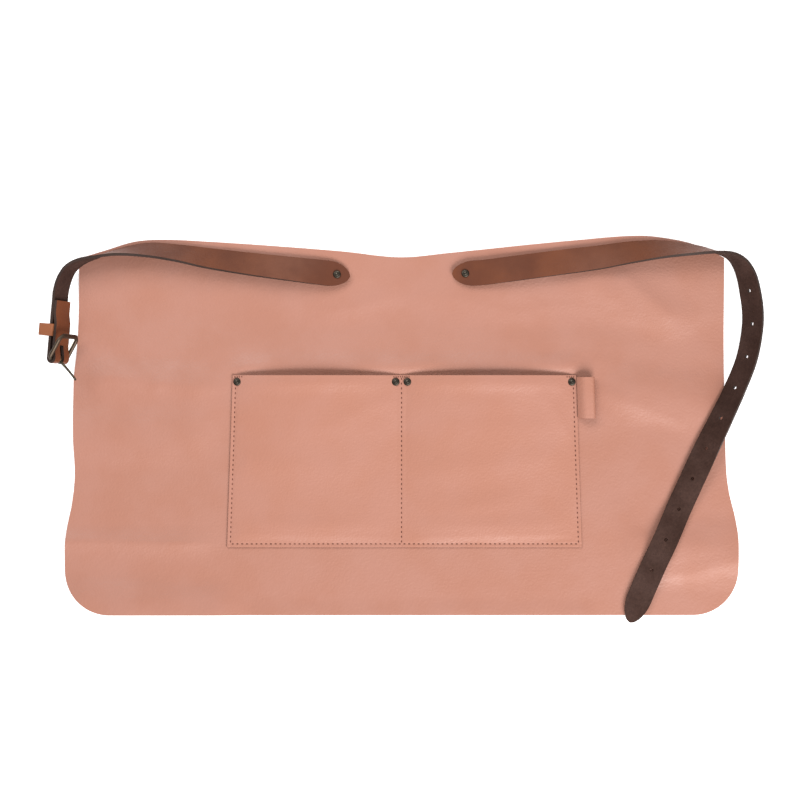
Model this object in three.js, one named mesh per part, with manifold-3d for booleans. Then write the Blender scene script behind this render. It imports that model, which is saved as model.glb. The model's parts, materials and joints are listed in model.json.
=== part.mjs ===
// A leather waist apron lying open on a flat surface: a wide panel, a two-mouthed patch pocket, and a
// belt in two straps, the left one with an unfastened buckle. Millimetres, +Z up, X to the right, Y to
// the waist. The origin is under the middle of the whole apron, on the surface that it lies on.

import * as THREE from 'three';
import { mergeVertices } from 'three/addons/utils/BufferGeometryUtils.js';
import Module from 'manifold-3d';

// Clearances
const GAP = 0.3;
const LEATHER_GAP = 0.6;

// Panel
const waistWidth = 669;
const hemWidth = 700;
const panelHeight = 371;
const panelThickness = 1.6;
const waistRise = 23;
const hemCornerRadius = 47;
const foldRise = 7;

// Pocket
const pocketMouthWidth = 357;
const pocketBaseWidth = 369;
const pocketHeight = 179;
const pocketThickness = 1.4;
const pocketAboveHem = 70.5;
const pocketShift = 3;
const mouthRise = 11;
const seamWidth = 5;
const dividerShift = -3;

// Side loop
const loopReach = 18.4;
const loopHeight = 43;
const loopBelowMouth = 2;
const loopThickness = 1.3;
const loopInside = 6.4;

// Straps
const strapWidth = 26;
const strapThickness = 3;
const strapEdgeRound = 0.7;
const rivetedTipLength = 21;
const freeTipLength = 28;
const tipEndWidth = 3;
const rivetFromTip = 13.5;
const foldLength = 60;
const holeDiameter = 3.8;
const holePitch = 34.6;
const firstHoleFromTip = 59;
const holeCount = 10;

// Buckle
const wireRadius = 2;
const railWidth = 5;
const frameLength = 30;
const frameSideGap = 0.8;
const frameCornerRadius = 5;
const frameTurn = 154;
const prongLength = 31;
const prongRadius = 1.4;
const prongTipRadius = 1.1;
const prongEyeWall = 2;
const prongEyeWidth = 3.6;
const prongTurn = 52;
const prongSlotWidth = 7;
const prongSlotLength = 14;

// Keeper
const keeperWidth = 12.5;
const keeperThickness = 1.8;
const keeperReach = 10.5;
const keeperFromBar = 29;

// Rivets
const capRadius = 4.1;
const capHeight = 1.7;
const postRadius = 1.5;
const backThickness = 1.1;
const pressDepth = 0.25;
const backClearance = 0.4;
const cornerRivetInset = 5.2;
const mouthRivetInset = 7;
const middleRivetSpacing = 12.2;

// Waist edge from left to right: across as a share of the waist's width, up as a share of waistRise.
const WAIST_EDGE = [
  { across: 0.0, up: -0.02 },
  { across: 0.04, up: 0.33 },
  { across: 0.086, up: 0.73 },
  { across: 0.132, up: 0.82 },
  { across: 0.202, up: 0.73 },
  { across: 0.295, up: 0.55 },
  { across: 0.412, up: 0.27 },
  { across: 0.498, up: 0.03 },
  { across: 0.575, up: 0.23 },
  { across: 0.669, up: 0.5 },
  { across: 0.762, up: 0.77 },
  { across: 0.866, up: 1.0 },
  { across: 0.925, up: 0.82 },
  { across: 0.972, up: 0.43 },
  { across: 1.0, up: 0.0 },
];

// Side edges from waist to hem: down as a share of the panel's height, out as a share of the flare.
const LEFT_EDGE = [
  { down: 0.0, out: 0.0 },
  { down: 0.17, out: 0.07 },
  { down: 0.26, out: 0.2 },
  { down: 0.34, out: 0.4 },
  { down: 0.5, out: 0.42 },
  { down: 0.61, out: 0.33 },
  { down: 0.69, out: 0.53 },
  { down: 0.76, out: 0.87 },
  { down: 0.83, out: 1.0 },
  { down: 1.0, out: 0.9 },
];
const RIGHT_EDGE = [
  { down: 0.0, out: 0.0 },
  { down: 0.3, out: 0.03 },
  { down: 0.5, out: 0.1 },
  { down: 0.6, out: 0.2 },
  { down: 0.66, out: 0.4 },
  { down: 0.73, out: 0.8 },
  { down: 0.8, out: 1.0 },
  { down: 1.0, out: 0.88 },
];

// Folds of the lying panel, each a low ridge between two places. Across is a share of the waist's width
// from the middle, up a share of the panel's height from the hem, spread a share of that height and
// rise a share of foldRise.
const FOLDS = [
  { fromAcross: -0.52, fromUp: 1.04, toAcross: -0.12, toUp: 1.05, spread: 0.16, rise: 1.0 },
  { fromAcross: -0.1, fromUp: 1.0, toAcross: 0.16, toUp: 1.01, spread: 0.15, rise: 0.75 },
  { fromAcross: 0.2, fromUp: 1.05, toAcross: 0.5, toUp: 1.0, spread: 0.17, rise: 1.1 },
  { fromAcross: -0.46, fromUp: 0.67, toAcross: -0.27, toUp: 0.64, spread: 0.055, rise: 0.75 },
  { fromAcross: -0.25, fromUp: 0.66, toAcross: 0.26, toUp: 0.665, spread: 0.06, rise: 0.4 },
  { fromAcross: -0.53, fromUp: 0.51, toAcross: -0.3, toUp: 0.51, spread: 0.09, rise: 0.8 },
  { fromAcross: -0.53, fromUp: 0.22, toAcross: -0.29, toUp: 0.215, spread: 0.06, rise: 0.75 },
  { fromAcross: -0.49, fromUp: 0.03, toAcross: -0.3, toUp: 0.0, spread: 0.07, rise: 0.7 },
  { fromAcross: -0.2, fromUp: -0.01, toAcross: 0.28, toUp: -0.01, spread: 0.06, rise: 0.45 },
  { fromAcross: 0.3, fromUp: 0.93, toAcross: 0.42, toUp: 0.83, spread: 0.06, rise: 0.5 },
  { fromAcross: 0.32, fromUp: 0.63, toAcross: 0.46, toUp: 0.6, spread: 0.08, rise: 0.85 },
  { fromAcross: 0.5, fromUp: 0.52, toAcross: 0.54, toUp: 0.42, spread: 0.08, rise: 0.7 },
  { fromAcross: 0.33, fromUp: 0.3, toAcross: 0.37, toUp: 0.12, spread: 0.05, rise: 0.45 },
  { fromAcross: 0.42, fromUp: 0.18, toAcross: 0.54, toUp: 0.17, spread: 0.09, rise: 0.9 },
];
const FOLD_FLOOR = 0.16;
const FOLD_SOFTNESS = 0.2;

// Swell of the pocket from mouth to base: down as a share of its height, swell as a share of mouthRise.
const POCKET_SWELL = [
  { down: 0.0, swell: 1.0 },
  { down: 0.05, swell: 0.97 },
  { down: 0.12, swell: 0.74 },
  { down: 0.22, swell: 0.66 },
  { down: 0.33, swell: 0.68 },
  { down: 0.5, swell: 0.45 },
  { down: 0.68, swell: 0.26 },
  { down: 0.82, swell: 0.34 },
  { down: 0.91, swell: 0.46 },
  { down: 1.0, swell: 0.0 },
];

// Route of each strap from its riveted tip. Across is a share of the waist's width from the middle and
// up a share of the panel's height from the hem. Roll is how far the strap has turned over, in degrees:
// 0 lies with the outer side up, 90 stands on edge, 180 lies with the inner side up. Raise is the share
// of the buckle's own clearance by which the strap stays up.
const BUCKLE_STRAP_ROUTE = [
  { across: -0.08, up: 0.9468, roll: 0, raise: 0 },
  { across: -0.1, up: 0.953, roll: 0, raise: 0 },
  { across: -0.158, up: 0.965, roll: 16, raise: 0 },
  { across: -0.228, up: 0.98, roll: 27, raise: 0 },
  { across: -0.298, up: 0.997, roll: 38, raise: 0 },
  { across: -0.345, up: 1.011, roll: 49, raise: 0 },
  { across: -0.391, up: 1.02, roll: 57, raise: 0 },
  { across: -0.438, up: 1.014, roll: 76, raise: 0 },
  { across: -0.472, up: 1.0, roll: 88, raise: 0 },
  { across: -0.494, up: 0.988, roll: 97, raise: 0.1 },
  { across: -0.51, up: 0.968, roll: 106, raise: 0.3 },
  { across: -0.5192, up: 0.938, roll: 112, raise: 0.6 },
  { across: -0.524, up: 0.905, roll: 114, raise: 0.9 },
  { across: -0.5254, up: 0.879, roll: 114, raise: 1 },
];
const PUNCHED_STRAP_ROUTE = [
  { across: 0.0785, up: 0.955, roll: 0, raise: 0 },
  { across: 0.122, up: 0.958, roll: 0, raise: 0 },
  { across: 0.169, up: 0.968, roll: 6, raise: 0 },
  { across: 0.215, up: 0.979, roll: 10, raise: 0 },
  { across: 0.262, up: 0.99, roll: 14, raise: 0 },
  { across: 0.309, up: 1.001, roll: 22, raise: 0 },
  { across: 0.355, up: 1.014, roll: 32, raise: 0 },
  { across: 0.402, up: 1.022, roll: 47, raise: 0 },
  { across: 0.449, up: 1.021, roll: 66, raise: 0 },
  { across: 0.483, up: 1.015, roll: 84, raise: 0 },
  { across: 0.508, up: 1.003, roll: 100, raise: 0 },
  { across: 0.523, up: 0.98, roll: 117, raise: 0 },
  { across: 0.533, up: 0.947, roll: 128, raise: 0 },
  { across: 0.539, up: 0.905, roll: 133, raise: 0 },
  { across: 0.543, up: 0.86, roll: 134, raise: 0 },
  { across: 0.5433, up: 0.8106, roll: 134, raise: 0 },
  { across: 0.5345, up: 0.721, roll: 134, raise: 0 },
  { across: 0.5157, up: 0.634, roll: 136, raise: 0 },
  { across: 0.4946, up: 0.555, roll: 143, raise: 0 },
  { across: 0.473, up: 0.47, roll: 157, raise: 0 },
  { across: 0.4523, up: 0.3866, roll: 171, raise: 0 },
  { across: 0.4311, up: 0.3017, roll: 180, raise: 0 },
  { across: 0.4101, up: 0.2151, roll: 180, raise: 0 },
  { across: 0.388, up: 0.1289, roll: 180, raise: 0 },
  { across: 0.3538, up: -0.0196, roll: 180, raise: 0 },
];

// Sizes that follow from those above
const flare = (hemWidth - waistWidth) / 2;
const pocketTop = pocketAboveHem + pocketHeight;
const buckleHalfWidth = strapWidth / 2 + frameSideGap + railWidth;
const barClearRadius = wireRadius + GAP;
const foldRadius = barClearRadius + strapThickness / 2;
const keeperLayer = keeperThickness + 2 * GAP;
const rivetLift = backThickness + GAP + backClearance;
const endRoll = BUCKLE_STRAP_ROUTE.at(-1).roll;
const endLean = THREE.MathUtils.degToRad(endRoll);
const frameDrop = buckleHalfWidth * Math.sin(endLean);
const keeperHalfWidth = strapWidth / 2 + GAP + keeperThickness;
const keeperOut = strapThickness / 2 + keeperReach + keeperThickness;
const keeperDrop = keeperHalfWidth * Math.sin(endLean) - keeperOut * Math.cos(endLean);
const strapDrop = (strapWidth / 2) * Math.sin(endLean) - (strapThickness / 2) * Math.cos(endLean);
const buckleRaise = Math.max(frameDrop, keeperDrop) - strapDrop;

const wasm = await Module();
wasm.setup();
const UP = new THREE.Vector3(0, 0, 1);

// Materials
function leather(color, roughness) {
  return new THREE.MeshStandardMaterial({ color, roughness, metalness: 0 });
}

function metal(color, roughness) {
  return new THREE.MeshStandardMaterial({ color, roughness, metalness: 1 });
}

// Tables and small formulas
function smooth(low, high, value) {
  return THREE.MathUtils.smoothstep(value, low, high);
}

// Reads a column of a table at a value of its key column, along a smooth curve through the rows.
function readTable(rows, key, column, at) {
  const last = rows.length - 1;
  let row = 0;
  while (row < last - 1 && at > rows[row + 1][key]) row += 1;
  const slope = (k) => {
    const before = rows[Math.max(k - 1, 0)];
    const after = rows[Math.min(k + 1, last)];
    return (after[column] - before[column]) / (after[key] - before[key]);
  };
  const step = rows[row + 1][key] - rows[row][key];
  const t = THREE.MathUtils.clamp((at - rows[row][key]) / step, 0, 1);
  const start = rows[row][column];
  const end = rows[row + 1][column];
  const startShare = 2 * t ** 3 - 3 * t ** 2 + 1;
  const startPull = (t ** 3 - 2 * t ** 2 + t) * step * slope(row);
  const endPull = (t ** 3 - t ** 2) * step * slope(row + 1);
  return startShare * start + startPull + (1 - startShare) * end + endPull;
}

// Meshes
function meshFrom(positions, triangles) {
  const geometry = new THREE.BufferGeometry();
  geometry.setAttribute('position', new THREE.Float32BufferAttribute(positions, 3));
  geometry.setIndex(triangles);
  geometry.computeVertexNormals();
  return geometry;
}

// A sheet between a lower and an upper surface over the same columns and rows of places. Both
// surfaces come from surfaceAt(u, v, side), where side is 0 for the lower one and 1 for the upper.
function sheetGeometry(columns, rows, surfaceAt) {
  const positions = [];
  const triangles = [];
  const across = columns.length;
  const down = rows.length;
  for (const side of [0, 1]) {
    for (const v of rows) {
      for (const u of columns) positions.push(...surfaceAt(u, v, side));
    }
  }
  const index = (i, j, side) => side * across * down + j * across + i;
  const quad = (a, b, c, d) => triangles.push(a, b, c, a, c, d);
  for (let j = 0; j < down - 1; j += 1) {
    for (let i = 0; i < across - 1; i += 1) {
      quad(index(i, j, 1), index(i, j + 1, 1), index(i + 1, j + 1, 1), index(i + 1, j, 1));
      quad(index(i, j, 0), index(i + 1, j, 0), index(i + 1, j + 1, 0), index(i, j + 1, 0));
    }
  }
  for (let i = 0; i < across - 1; i += 1) {
    const bottom = down - 1;
    quad(index(i, 0, 1), index(i + 1, 0, 1), index(i + 1, 0, 0), index(i, 0, 0));
    quad(index(i, bottom, 0), index(i + 1, bottom, 0), index(i + 1, bottom, 1), index(i, bottom, 1));
  }
  for (let j = 0; j < down - 1; j += 1) {
    const right = across - 1;
    quad(index(0, j, 0), index(0, j + 1, 0), index(0, j + 1, 1), index(0, j, 1));
    quad(index(right, j, 1), index(right, j + 1, 1), index(right, j + 1, 0), index(right, j, 0));
  }
  return meshFrom(positions, triangles);
}

// A solid through rings of points, each ring counter-clockwise when it is seen against the direction
// of travel. A loop joins its last ring to its first, and any other solid is capped at both ends.
function ringSolid(rings, loop) {
  const size = rings[0].length;
  const positions = rings.flat().flatMap((point) => point.toArray());
  const triangles = [];
  const spans = loop ? rings.length : rings.length - 1;
  for (let k = 0; k < spans; k += 1) {
    const here = k * size;
    const next = ((k + 1) % rings.length) * size;
    for (let m = 0; m < size; m += 1) {
      const n = (m + 1) % size;
      triangles.push(here + m, here + n, next + n, here + m, next + n, next + m);
    }
  }
  if (!loop) {
    const end = (rings.length - 1) * size;
    for (let m = 1; m < size - 1; m += 1) {
      triangles.push(0, m + 1, m, end, end + m, end + m + 1);
    }
  }
  return meshFrom(positions, triangles);
}

function toSolid(geometry) {
  const bare = geometry.clone();
  bare.deleteAttribute('normal');
  bare.deleteAttribute('uv');
  const merged = mergeVertices(bare, 1e-4);
  const vertProperties = new Float32Array(merged.attributes.position.array);
  const triVerts = new Uint32Array(merged.index.array);
  return new wasm.Manifold(new wasm.Mesh({ numProp: 3, vertProperties, triVerts }));
}

function toGeometry(solid) {
  const mesh = solid.getMesh();
  return meshFrom(Array.from(mesh.vertProperties), Array.from(mesh.triVerts));
}

function cut(geometry, cutters) {
  let solid = toSolid(geometry);
  for (const cutter of cutters) solid = solid.subtract(toSolid(cutter));
  return toGeometry(solid);
}

// A basis whose X, Y and Z axes lie along three directions, standing at a place.
function placement(x, y, z, origin) {
  return new THREE.Matrix4().makeBasis(x, y, z).setPosition(origin);
}

// The panel's outline, in the panel's own frame: X from its middle, Y from its hem.
function sideX(edge, sign, y) {
  const down = 1 - y / panelHeight;
  return sign * (waistWidth / 2 + flare * readTable(edge, 'down', 'out', down));
}

function waistY(x) {
  const across = x / waistWidth + 0.5;
  return panelHeight + waistRise * readTable(WAIST_EDGE, 'across', 'up', across);
}

function hemCorner(edge, sign) {
  const y = hemCornerRadius;
  return { x: sideX(edge, sign, y) - sign * hemCornerRadius, y, sign };
}

function cornerPoint(corner, degrees) {
  const angle = THREE.MathUtils.degToRad(degrees);
  const x = corner.x + corner.sign * hemCornerRadius * Math.cos(angle);
  return [x, corner.y - hemCornerRadius * Math.sin(angle)];
}

const leftCorner = hemCorner(LEFT_EDGE, -1);
const rightCorner = hemCorner(RIGHT_EDGE, 1);
const halfArc = (hemCornerRadius * Math.PI) / 4;

// From the waist down one side and half way round the hem's corner
function sideBoundary(edge, corner, v) {
  const top = waistY((corner.sign * waistWidth) / 2);
  const straight = top - hemCornerRadius;
  const length = v * (straight + halfArc);
  if (length > straight) return cornerPoint(corner, ((length - straight) / halfArc) * 45);
  const y = top - length;
  return [sideX(edge, corner.sign, y), y];
}

function hemBoundary(u) {
  const straight = rightCorner.x - leftCorner.x;
  const length = u * (straight + 2 * halfArc);
  if (length < halfArc) return cornerPoint(leftCorner, 45 + (length / halfArc) * 45);
  const past = length - halfArc - straight;
  if (past > 0) return cornerPoint(rightCorner, 90 - (past / halfArc) * 45);
  return [leftCorner.x + length - halfArc, 0];
}

function waistBoundary(u) {
  const x = (u - 0.5) * waistWidth;
  return [x, waistY(x)];
}

// A place on the panel from its share across and down, blended from the four edges
function panelPlace(u, v) {
  const waist = waistBoundary(u);
  const hem = hemBoundary(u);
  const left = sideBoundary(LEFT_EDGE, leftCorner, v);
  const right = sideBoundary(RIGHT_EDGE, rightCorner, v);
  const blend = (axis) => {
    const rulesDown = (1 - v) * waist[axis] + v * hem[axis];
    const rulesAcross = (1 - u) * left[axis] + u * right[axis];
    const topCorners = (1 - u) * waistBoundary(0)[axis] + u * waistBoundary(1)[axis];
    const hemCorners = (1 - u) * hemBoundary(0)[axis] + u * hemBoundary(1)[axis];
    return rulesDown + rulesAcross - (1 - v) * topCorners - v * hemCorners;
  };
  return [blend(0), blend(1)];
}

// The pocket's outline, in the same frame
const dividerX = pocketShift + dividerShift;

function pocketSideX(sign, y) {
  const down = THREE.MathUtils.clamp((pocketTop - y) / pocketHeight, 0, 1);
  return pocketShift + (sign / 2) * THREE.MathUtils.lerp(pocketMouthWidth, pocketBaseWidth, down);
}

const mouthRivetY = pocketTop - mouthRivetInset;
const pocketRivetPlaces = [
  { name: 'pocket_rivet_left', x: pocketSideX(-1, mouthRivetY) + cornerRivetInset, y: mouthRivetY },
  { name: 'pocket_rivet_middle_left', x: dividerX - middleRivetSpacing / 2, y: mouthRivetY },
  { name: 'pocket_rivet_middle_right', x: dividerX + middleRivetSpacing / 2, y: mouthRivetY },
  { name: 'pocket_rivet_right', x: pocketSideX(1, mouthRivetY) - cornerRivetInset, y: mouthRivetY },
];

// Strap routes in plan
function routePoints(route) {
  return route.map((row) => new THREE.Vector3(row.across * waistWidth, row.up * panelHeight, 0));
}

const buckleRoute = new THREE.CatmullRomCurve3(routePoints(BUCKLE_STRAP_ROUTE), false, 'centripetal');
const punchedRoute = new THREE.CatmullRomCurve3(routePoints(PUNCHED_STRAP_ROUTE), false, 'centripetal');
buckleRoute.arcLengthDivisions = 400;
punchedRoute.arcLengthDivisions = 600;

function strapRivetPlace(name, route) {
  const place = route.getPointAt(rivetFromTip / route.getLength());
  return { name, x: place.x, y: place.y };
}

const strapRivetPlaces = [
  strapRivetPlace('belt_rivet_left', buckleRoute),
  strapRivetPlace('belt_rivet_right', punchedRoute),
];

// How high the panel's underside is above the surface at a place
const RIVET_FLAT = 3;
const RIVET_FADE = 11;
const REST_FADE = 9 * seamWidth;
const ROLL_FLAT = 3 * capRadius;
const ROLL_FADE = 15 * capRadius;

function segmentDistance(x, y, fold) {
  const from = new THREE.Vector2(fold.fromAcross * waistWidth, fold.fromUp * panelHeight);
  const to = new THREE.Vector2(fold.toAcross * waistWidth, fold.toUp * panelHeight);
  const run = to.clone().sub(from);
  const place = new THREE.Vector2(x, y);
  const share = THREE.MathUtils.clamp(place.clone().sub(from).dot(run) / run.lengthSq(), 0, 1);
  return place.distanceTo(from.addScaledVector(run, share));
}

// 1 under the pocket and the side loop, where the panel lies flat, and 0 away from them
function restWindow(x, y) {
  const left = x - pocketSideX(-1, y);
  const right = pocketSideX(1, y) + loopReach - x;
  return smooth(-REST_FADE, 0, Math.min(left, right, y - pocketAboveHem, pocketTop - y));
}

// The low roll along the pocket's mouth, which has room for the backs of the rivets
function mouthRoll(x, y) {
  const beyond = Math.max(pocketSideX(-1, y) - x, x - pocketSideX(1, y) - loopReach);
  const across = 1 - smooth(0, 2 * REST_FADE, beyond);
  return rivetLift * across * (1 - smooth(ROLL_FLAT, ROLL_FADE, Math.abs(y - mouthRivetY)));
}

function panelLift(x, y) {
  let folds = 0;
  for (const fold of FOLDS) {
    const distance = segmentDistance(x, y, fold) / (fold.spread * panelHeight);
    folds += fold.rise * Math.exp(-(distance ** 2));
  }
  const open = Math.max(0, folds - FOLD_FLOOR);
  const eased = (open * open) / (open + FOLD_SOFTNESS);
  let lift = foldRise * eased * (1 - restWindow(x, y)) + mouthRoll(x, y);
  for (const place of strapRivetPlaces) {
    const away = Math.hypot(x - place.x, y - place.y);
    const hold = 1 - smooth(RIVET_FLAT * capRadius, RIVET_FADE * capRadius, away);
    lift = Math.max(lift, rivetLift * hold);
  }
  return lift;
}

function panelTop(x, y) {
  return panelLift(x, y) + panelThickness;
}

// Places along an edge, closer together near its two ends
function gradedShares(count) {
  const crowding = 0.3;
  return Array.from({ length: count + 1 }, (_, k) => {
    const even = k / count;
    return even - (crowding * Math.sin(2 * Math.PI * even)) / (2 * Math.PI);
  });
}

function panelSurface(u, v, side) {
  const [x, y] = panelPlace(u, v);
  return [x, y, panelLift(x, y) + side * panelThickness];
}

// Pocket: its underside follows the panel along the seams and swells up between them.
function pocketPlace(u, v) {
  const y = pocketTop - v * pocketHeight;
  return [THREE.MathUtils.lerp(pocketSideX(-1, y), pocketSideX(1, y), u), y];
}

function pocketSwell(x, y) {
  const [low, high] = x < dividerX ? [pocketSideX(-1, y), dividerX] : [dividerX, pocketSideX(1, y)];
  const room = high - low - 2 * seamWidth;
  const along = THREE.MathUtils.clamp((x - low - seamWidth) / room, 0, 1);
  const down = THREE.MathUtils.clamp((pocketTop - y) / (pocketHeight - seamWidth), 0, 1);
  return mouthRise * Math.sin(Math.PI * along) ** 0.75 * readTable(POCKET_SWELL, 'down', 'swell', down);
}

function pocketUnder(x, y) {
  return panelTop(x, y) + GAP + Math.max(0, pocketSwell(x, y));
}

function pocketSurface(u, v, side) {
  const [x, y] = pocketPlace(u, v);
  return [x, y, pocketUnder(x, y) + side * pocketThickness];
}

function evenShares(from, to, count) {
  return Array.from({ length: count }, (_, k) => from + ((to - from) * k) / count);
}

function pocketColumns() {
  const seam = seamWidth / pocketMouthWidth;
  const middle = (dividerX - pocketSideX(-1, pocketTop)) / pocketMouthWidth;
  return [
    0,
    ...evenShares(seam, middle - seam, 11),
    middle - seam,
    middle,
    ...evenShares(middle + seam, 1 - seam, 11),
    1 - seam,
    1,
  ];
}

function pocketRows() {
  const seam = seamWidth / pocketHeight;
  return [...evenShares(0, 0.16, 4), ...evenShares(0.16, 1 - seam, 13), 1 - seam, 1];
}

const CAP_SIDES = 16;
const ROOM_SIDES = 12;

// A rivet's cap from its rim to the middle of its dimple, as shares of capRadius and capHeight
const CAP_PROFILE = [
  { wide: 1.0, high: 0.0 },
  { wide: 0.93, high: 0.55 },
  { wide: 0.55, high: 1.0 },
  { wide: 0.0, high: 0.65 },
];
const BACK_FACE = 0.93;

// Rivets: a domed cap with a dimple, a post through the leather and a flat back.
function rivetProfile(underTop, overBack) {
  const back = overBack - backThickness;
  return [
    [0, back],
    [capRadius * BACK_FACE, back],
    [capRadius, overBack],
    [postRadius, overBack],
    [postRadius, underTop],
    ...CAP_PROFILE.map(({ wide, high }) => [capRadius * wide, underTop + capHeight * high]),
  ].map(([radius, height]) => new THREE.Vector2(radius, height));
}

// The room that a rivet needs in the leather: a seat for each cap and a bore for the post
function rivetRoom(rivet) {
  const wide = capRadius + GAP;
  const bore = postRadius + GAP;
  const far = 10 * capRadius;
  const profile = [
    [0, rivet.lowSeat - far],
    [wide, rivet.lowSeat - far],
    [wide, rivet.lowSeat],
    [bore, rivet.lowSeat],
    [bore, rivet.highSeat],
    [wide, rivet.highSeat],
    [wide, rivet.highSeat + far],
    [0, rivet.highSeat + far],
  ].map(([radius, height]) => new THREE.Vector2(radius, height));
  const geometry = new THREE.LatheGeometry(profile, ROOM_SIDES);
  return geometry.rotateX(Math.PI / 2).translate(rivet.x, rivet.y, 0);
}

function rivetGeometry(rivet) {
  const profile = rivetProfile(rivet.highSeat + GAP, rivet.lowSeat - GAP);
  return new THREE.LatheGeometry(profile, CAP_SIDES).rotateX(Math.PI / 2).translate(rivet.x, rivet.y, 0);
}

function seatedRivet(place, topOfStack) {
  const lowSeat = panelLift(place.x, place.y) + pressDepth;
  return { ...place, lowSeat, highSeat: topOfStack - pressDepth };
}

// Side loop: a strip folded on itself, both ends at the pocket's seam, open along Y.
function sideLoopProfile() {
  const outer = loopInside / 2 + loopThickness;
  const inner = loopInside / 2;
  const bend = loopReach - outer;
  const seamTop = 2 * loopThickness + GAP;
  const rise = (share) => Math.sin((Math.PI / 2) * Math.min(1, share * 1.5));
  const topAt = (share) => seamTop + (2 * outer - seamTop) * rise(share);
  const outside = [[GAP, 0], [bend, 0]];
  const inside = [[GAP, loopThickness], [bend, loopThickness]];
  for (let k = 1; k <= 8; k += 1) {
    const angle = (Math.PI * k) / 8 - Math.PI / 2;
    outside.push([bend + outer * Math.cos(angle), outer + outer * Math.sin(angle)]);
    inside.push([bend + inner * Math.cos(angle), outer + inner * Math.sin(angle)]);
  }
  for (let k = 5; k >= 0; k -= 1) {
    const share = k / 6;
    const along = GAP + share * (bend - GAP);
    outside.push([along, topAt(share)]);
    inside.push([along, topAt(share) - loopThickness]);
  }
  return { outside, inside };
}

function sideLoopGeometry() {
  const { outside, inside } = sideLoopProfile();
  const count = 6;
  const top = pocketTop - loopBelowMouth;
  const columns = outside.map((_, k) => k);
  const rows = evenShares(0, 1, count).concat(1);
  return sheetGeometry(columns, rows, (k, v, side) => {
    const [reach, height] = side === 1 ? inside[k] : outside[k];
    const y = top - v * loopHeight;
    const x = pocketSideX(1, y) + reach;
    return [x, y, panelTop(x, y) + LEATHER_GAP + height];
  });
}

// Straps
// What lies under a place: the panel, and the bare surface away from it
function supportHeight(x, y) {
  const side = x < 0 ? sideX(LEFT_EDGE, -1, y) : sideX(RIGHT_EDGE, 1, y);
  const beyondSide = Math.max(0, Math.abs(x) - Math.abs(side));
  const beyondEnd = Math.max(0, y - waistY(x), -y);
  const away = Math.hypot(beyondSide, beyondEnd);
  return panelTop(x, y) * (1 - smooth(strapWidth / 4, strapWidth, away));
}

// The strap's directions at a share of its route: along it, across it and out of its outer side
function strapAxes(route, share, roll, side) {
  const along = route.getTangentAt(share).setZ(0).normalize();
  const left = UP.clone().cross(along);
  const angle = THREE.MathUtils.degToRad(roll);
  const across = left.multiplyScalar(side * Math.cos(angle)).addScaledVector(UP, Math.sin(angle));
  const out = along.clone().cross(across).multiplyScalar(side);
  return { along, across, out };
}

function routeColumn(route, table, column, share) {
  const lengths = route.getLengths();
  const total = lengths.at(-1);
  const curveShare = route.getUtoTmapping(share, share * total);
  const rows = table.map((row, k) => ({ at: k / (table.length - 1), value: row[column] }));
  return readTable(rows, 'at', 'value', curveShare);
}

// The centre of the strap over a place, so that no part of its width is in what it lies on
function restingCentre(place, axes) {
  let height = 0;
  for (const part of [-1, -0.5, 0, 0.5, 1]) {
    const reach = (part * strapWidth) / 2;
    const x = place.x + axes.across.x * reach;
    const y = place.y + axes.across.y * reach;
    const below = axes.across.z * reach - (strapThickness / 2) * Math.abs(axes.out.z);
    height = Math.max(height, supportHeight(x, y) + LEATHER_GAP - below);
  }
  return new THREE.Vector3(place.x, place.y, height);
}

function strapStation(route, table, side, length) {
  const share = THREE.MathUtils.clamp(length / route.getLength(), 0, 1);
  const axes = strapAxes(route, share, routeColumn(route, table, 'roll', share), side);
  const centre = restingCentre(route.getPointAt(share), axes);
  centre.z += buckleRaise * routeColumn(route, table, 'raise', share);
  return { ...axes, centre };
}

// Half the width of a strap at a distance from its blunt tip
const TIP_BLUNTNESS = 0.62;

function tipHalfWidth(distance, tipLength) {
  const toFull = 1 - Math.min(1, distance / tipLength);
  return THREE.MathUtils.lerp(tipEndWidth / 2, strapWidth / 2, (1 - toFull ** 2) ** TIP_BLUNTNESS);
}

// The eight-cornered section of a strap, with its edges eased
function strapRing(station, halfWidth, side) {
  const thick = strapThickness / 2;
  const ease = Math.min(strapEdgeRound, halfWidth / 2);
  const corners = [
    [halfWidth, thick - ease],
    [halfWidth - ease, thick],
    [ease - halfWidth, thick],
    [-halfWidth, thick - ease],
    [-halfWidth, ease - thick],
    [ease - halfWidth, -thick],
    [halfWidth - ease, -thick],
    [halfWidth, ease - thick],
  ];
  const ring = corners.map(([wide, high]) =>
    station.centre.clone().addScaledVector(station.across, wide).addScaledVector(station.out, high),
  );
  return side > 0 ? ring : ring.reverse();
}

// Distances along a strap: close together at its pointed tip, then a step apart
function strapLengths(from, to, step) {
  const count = Math.ceil((to - from) / step);
  return evenShares(from, to, count).concat(to);
}

const TIP_STEPS = [0, 0.02, 0.08, 0.18, 0.32, 0.5, 0.72];
const STRAP_STEP = 12;

function rivetedTipRings(stationAt, side) {
  return TIP_STEPS.map((share) => {
    const length = share * rivetedTipLength;
    return strapRing(stationAt(length), tipHalfWidth(length, rivetedTipLength), side);
  });
}

// Punched strap
const punchedLength = punchedRoute.getLength();

function punchedStation(length) {
  return strapStation(punchedRoute, PUNCHED_STRAP_ROUTE, -1, length);
}

function strapHole(length) {
  const { centre, along, out } = punchedStation(punchedLength - length);
  const hole = new THREE.CylinderGeometry(holeDiameter / 2, holeDiameter / 2, 3 * strapThickness, 8);
  return hole.applyMatrix4(placement(along.clone().cross(out).negate(), out, along, centre));
}

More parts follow.
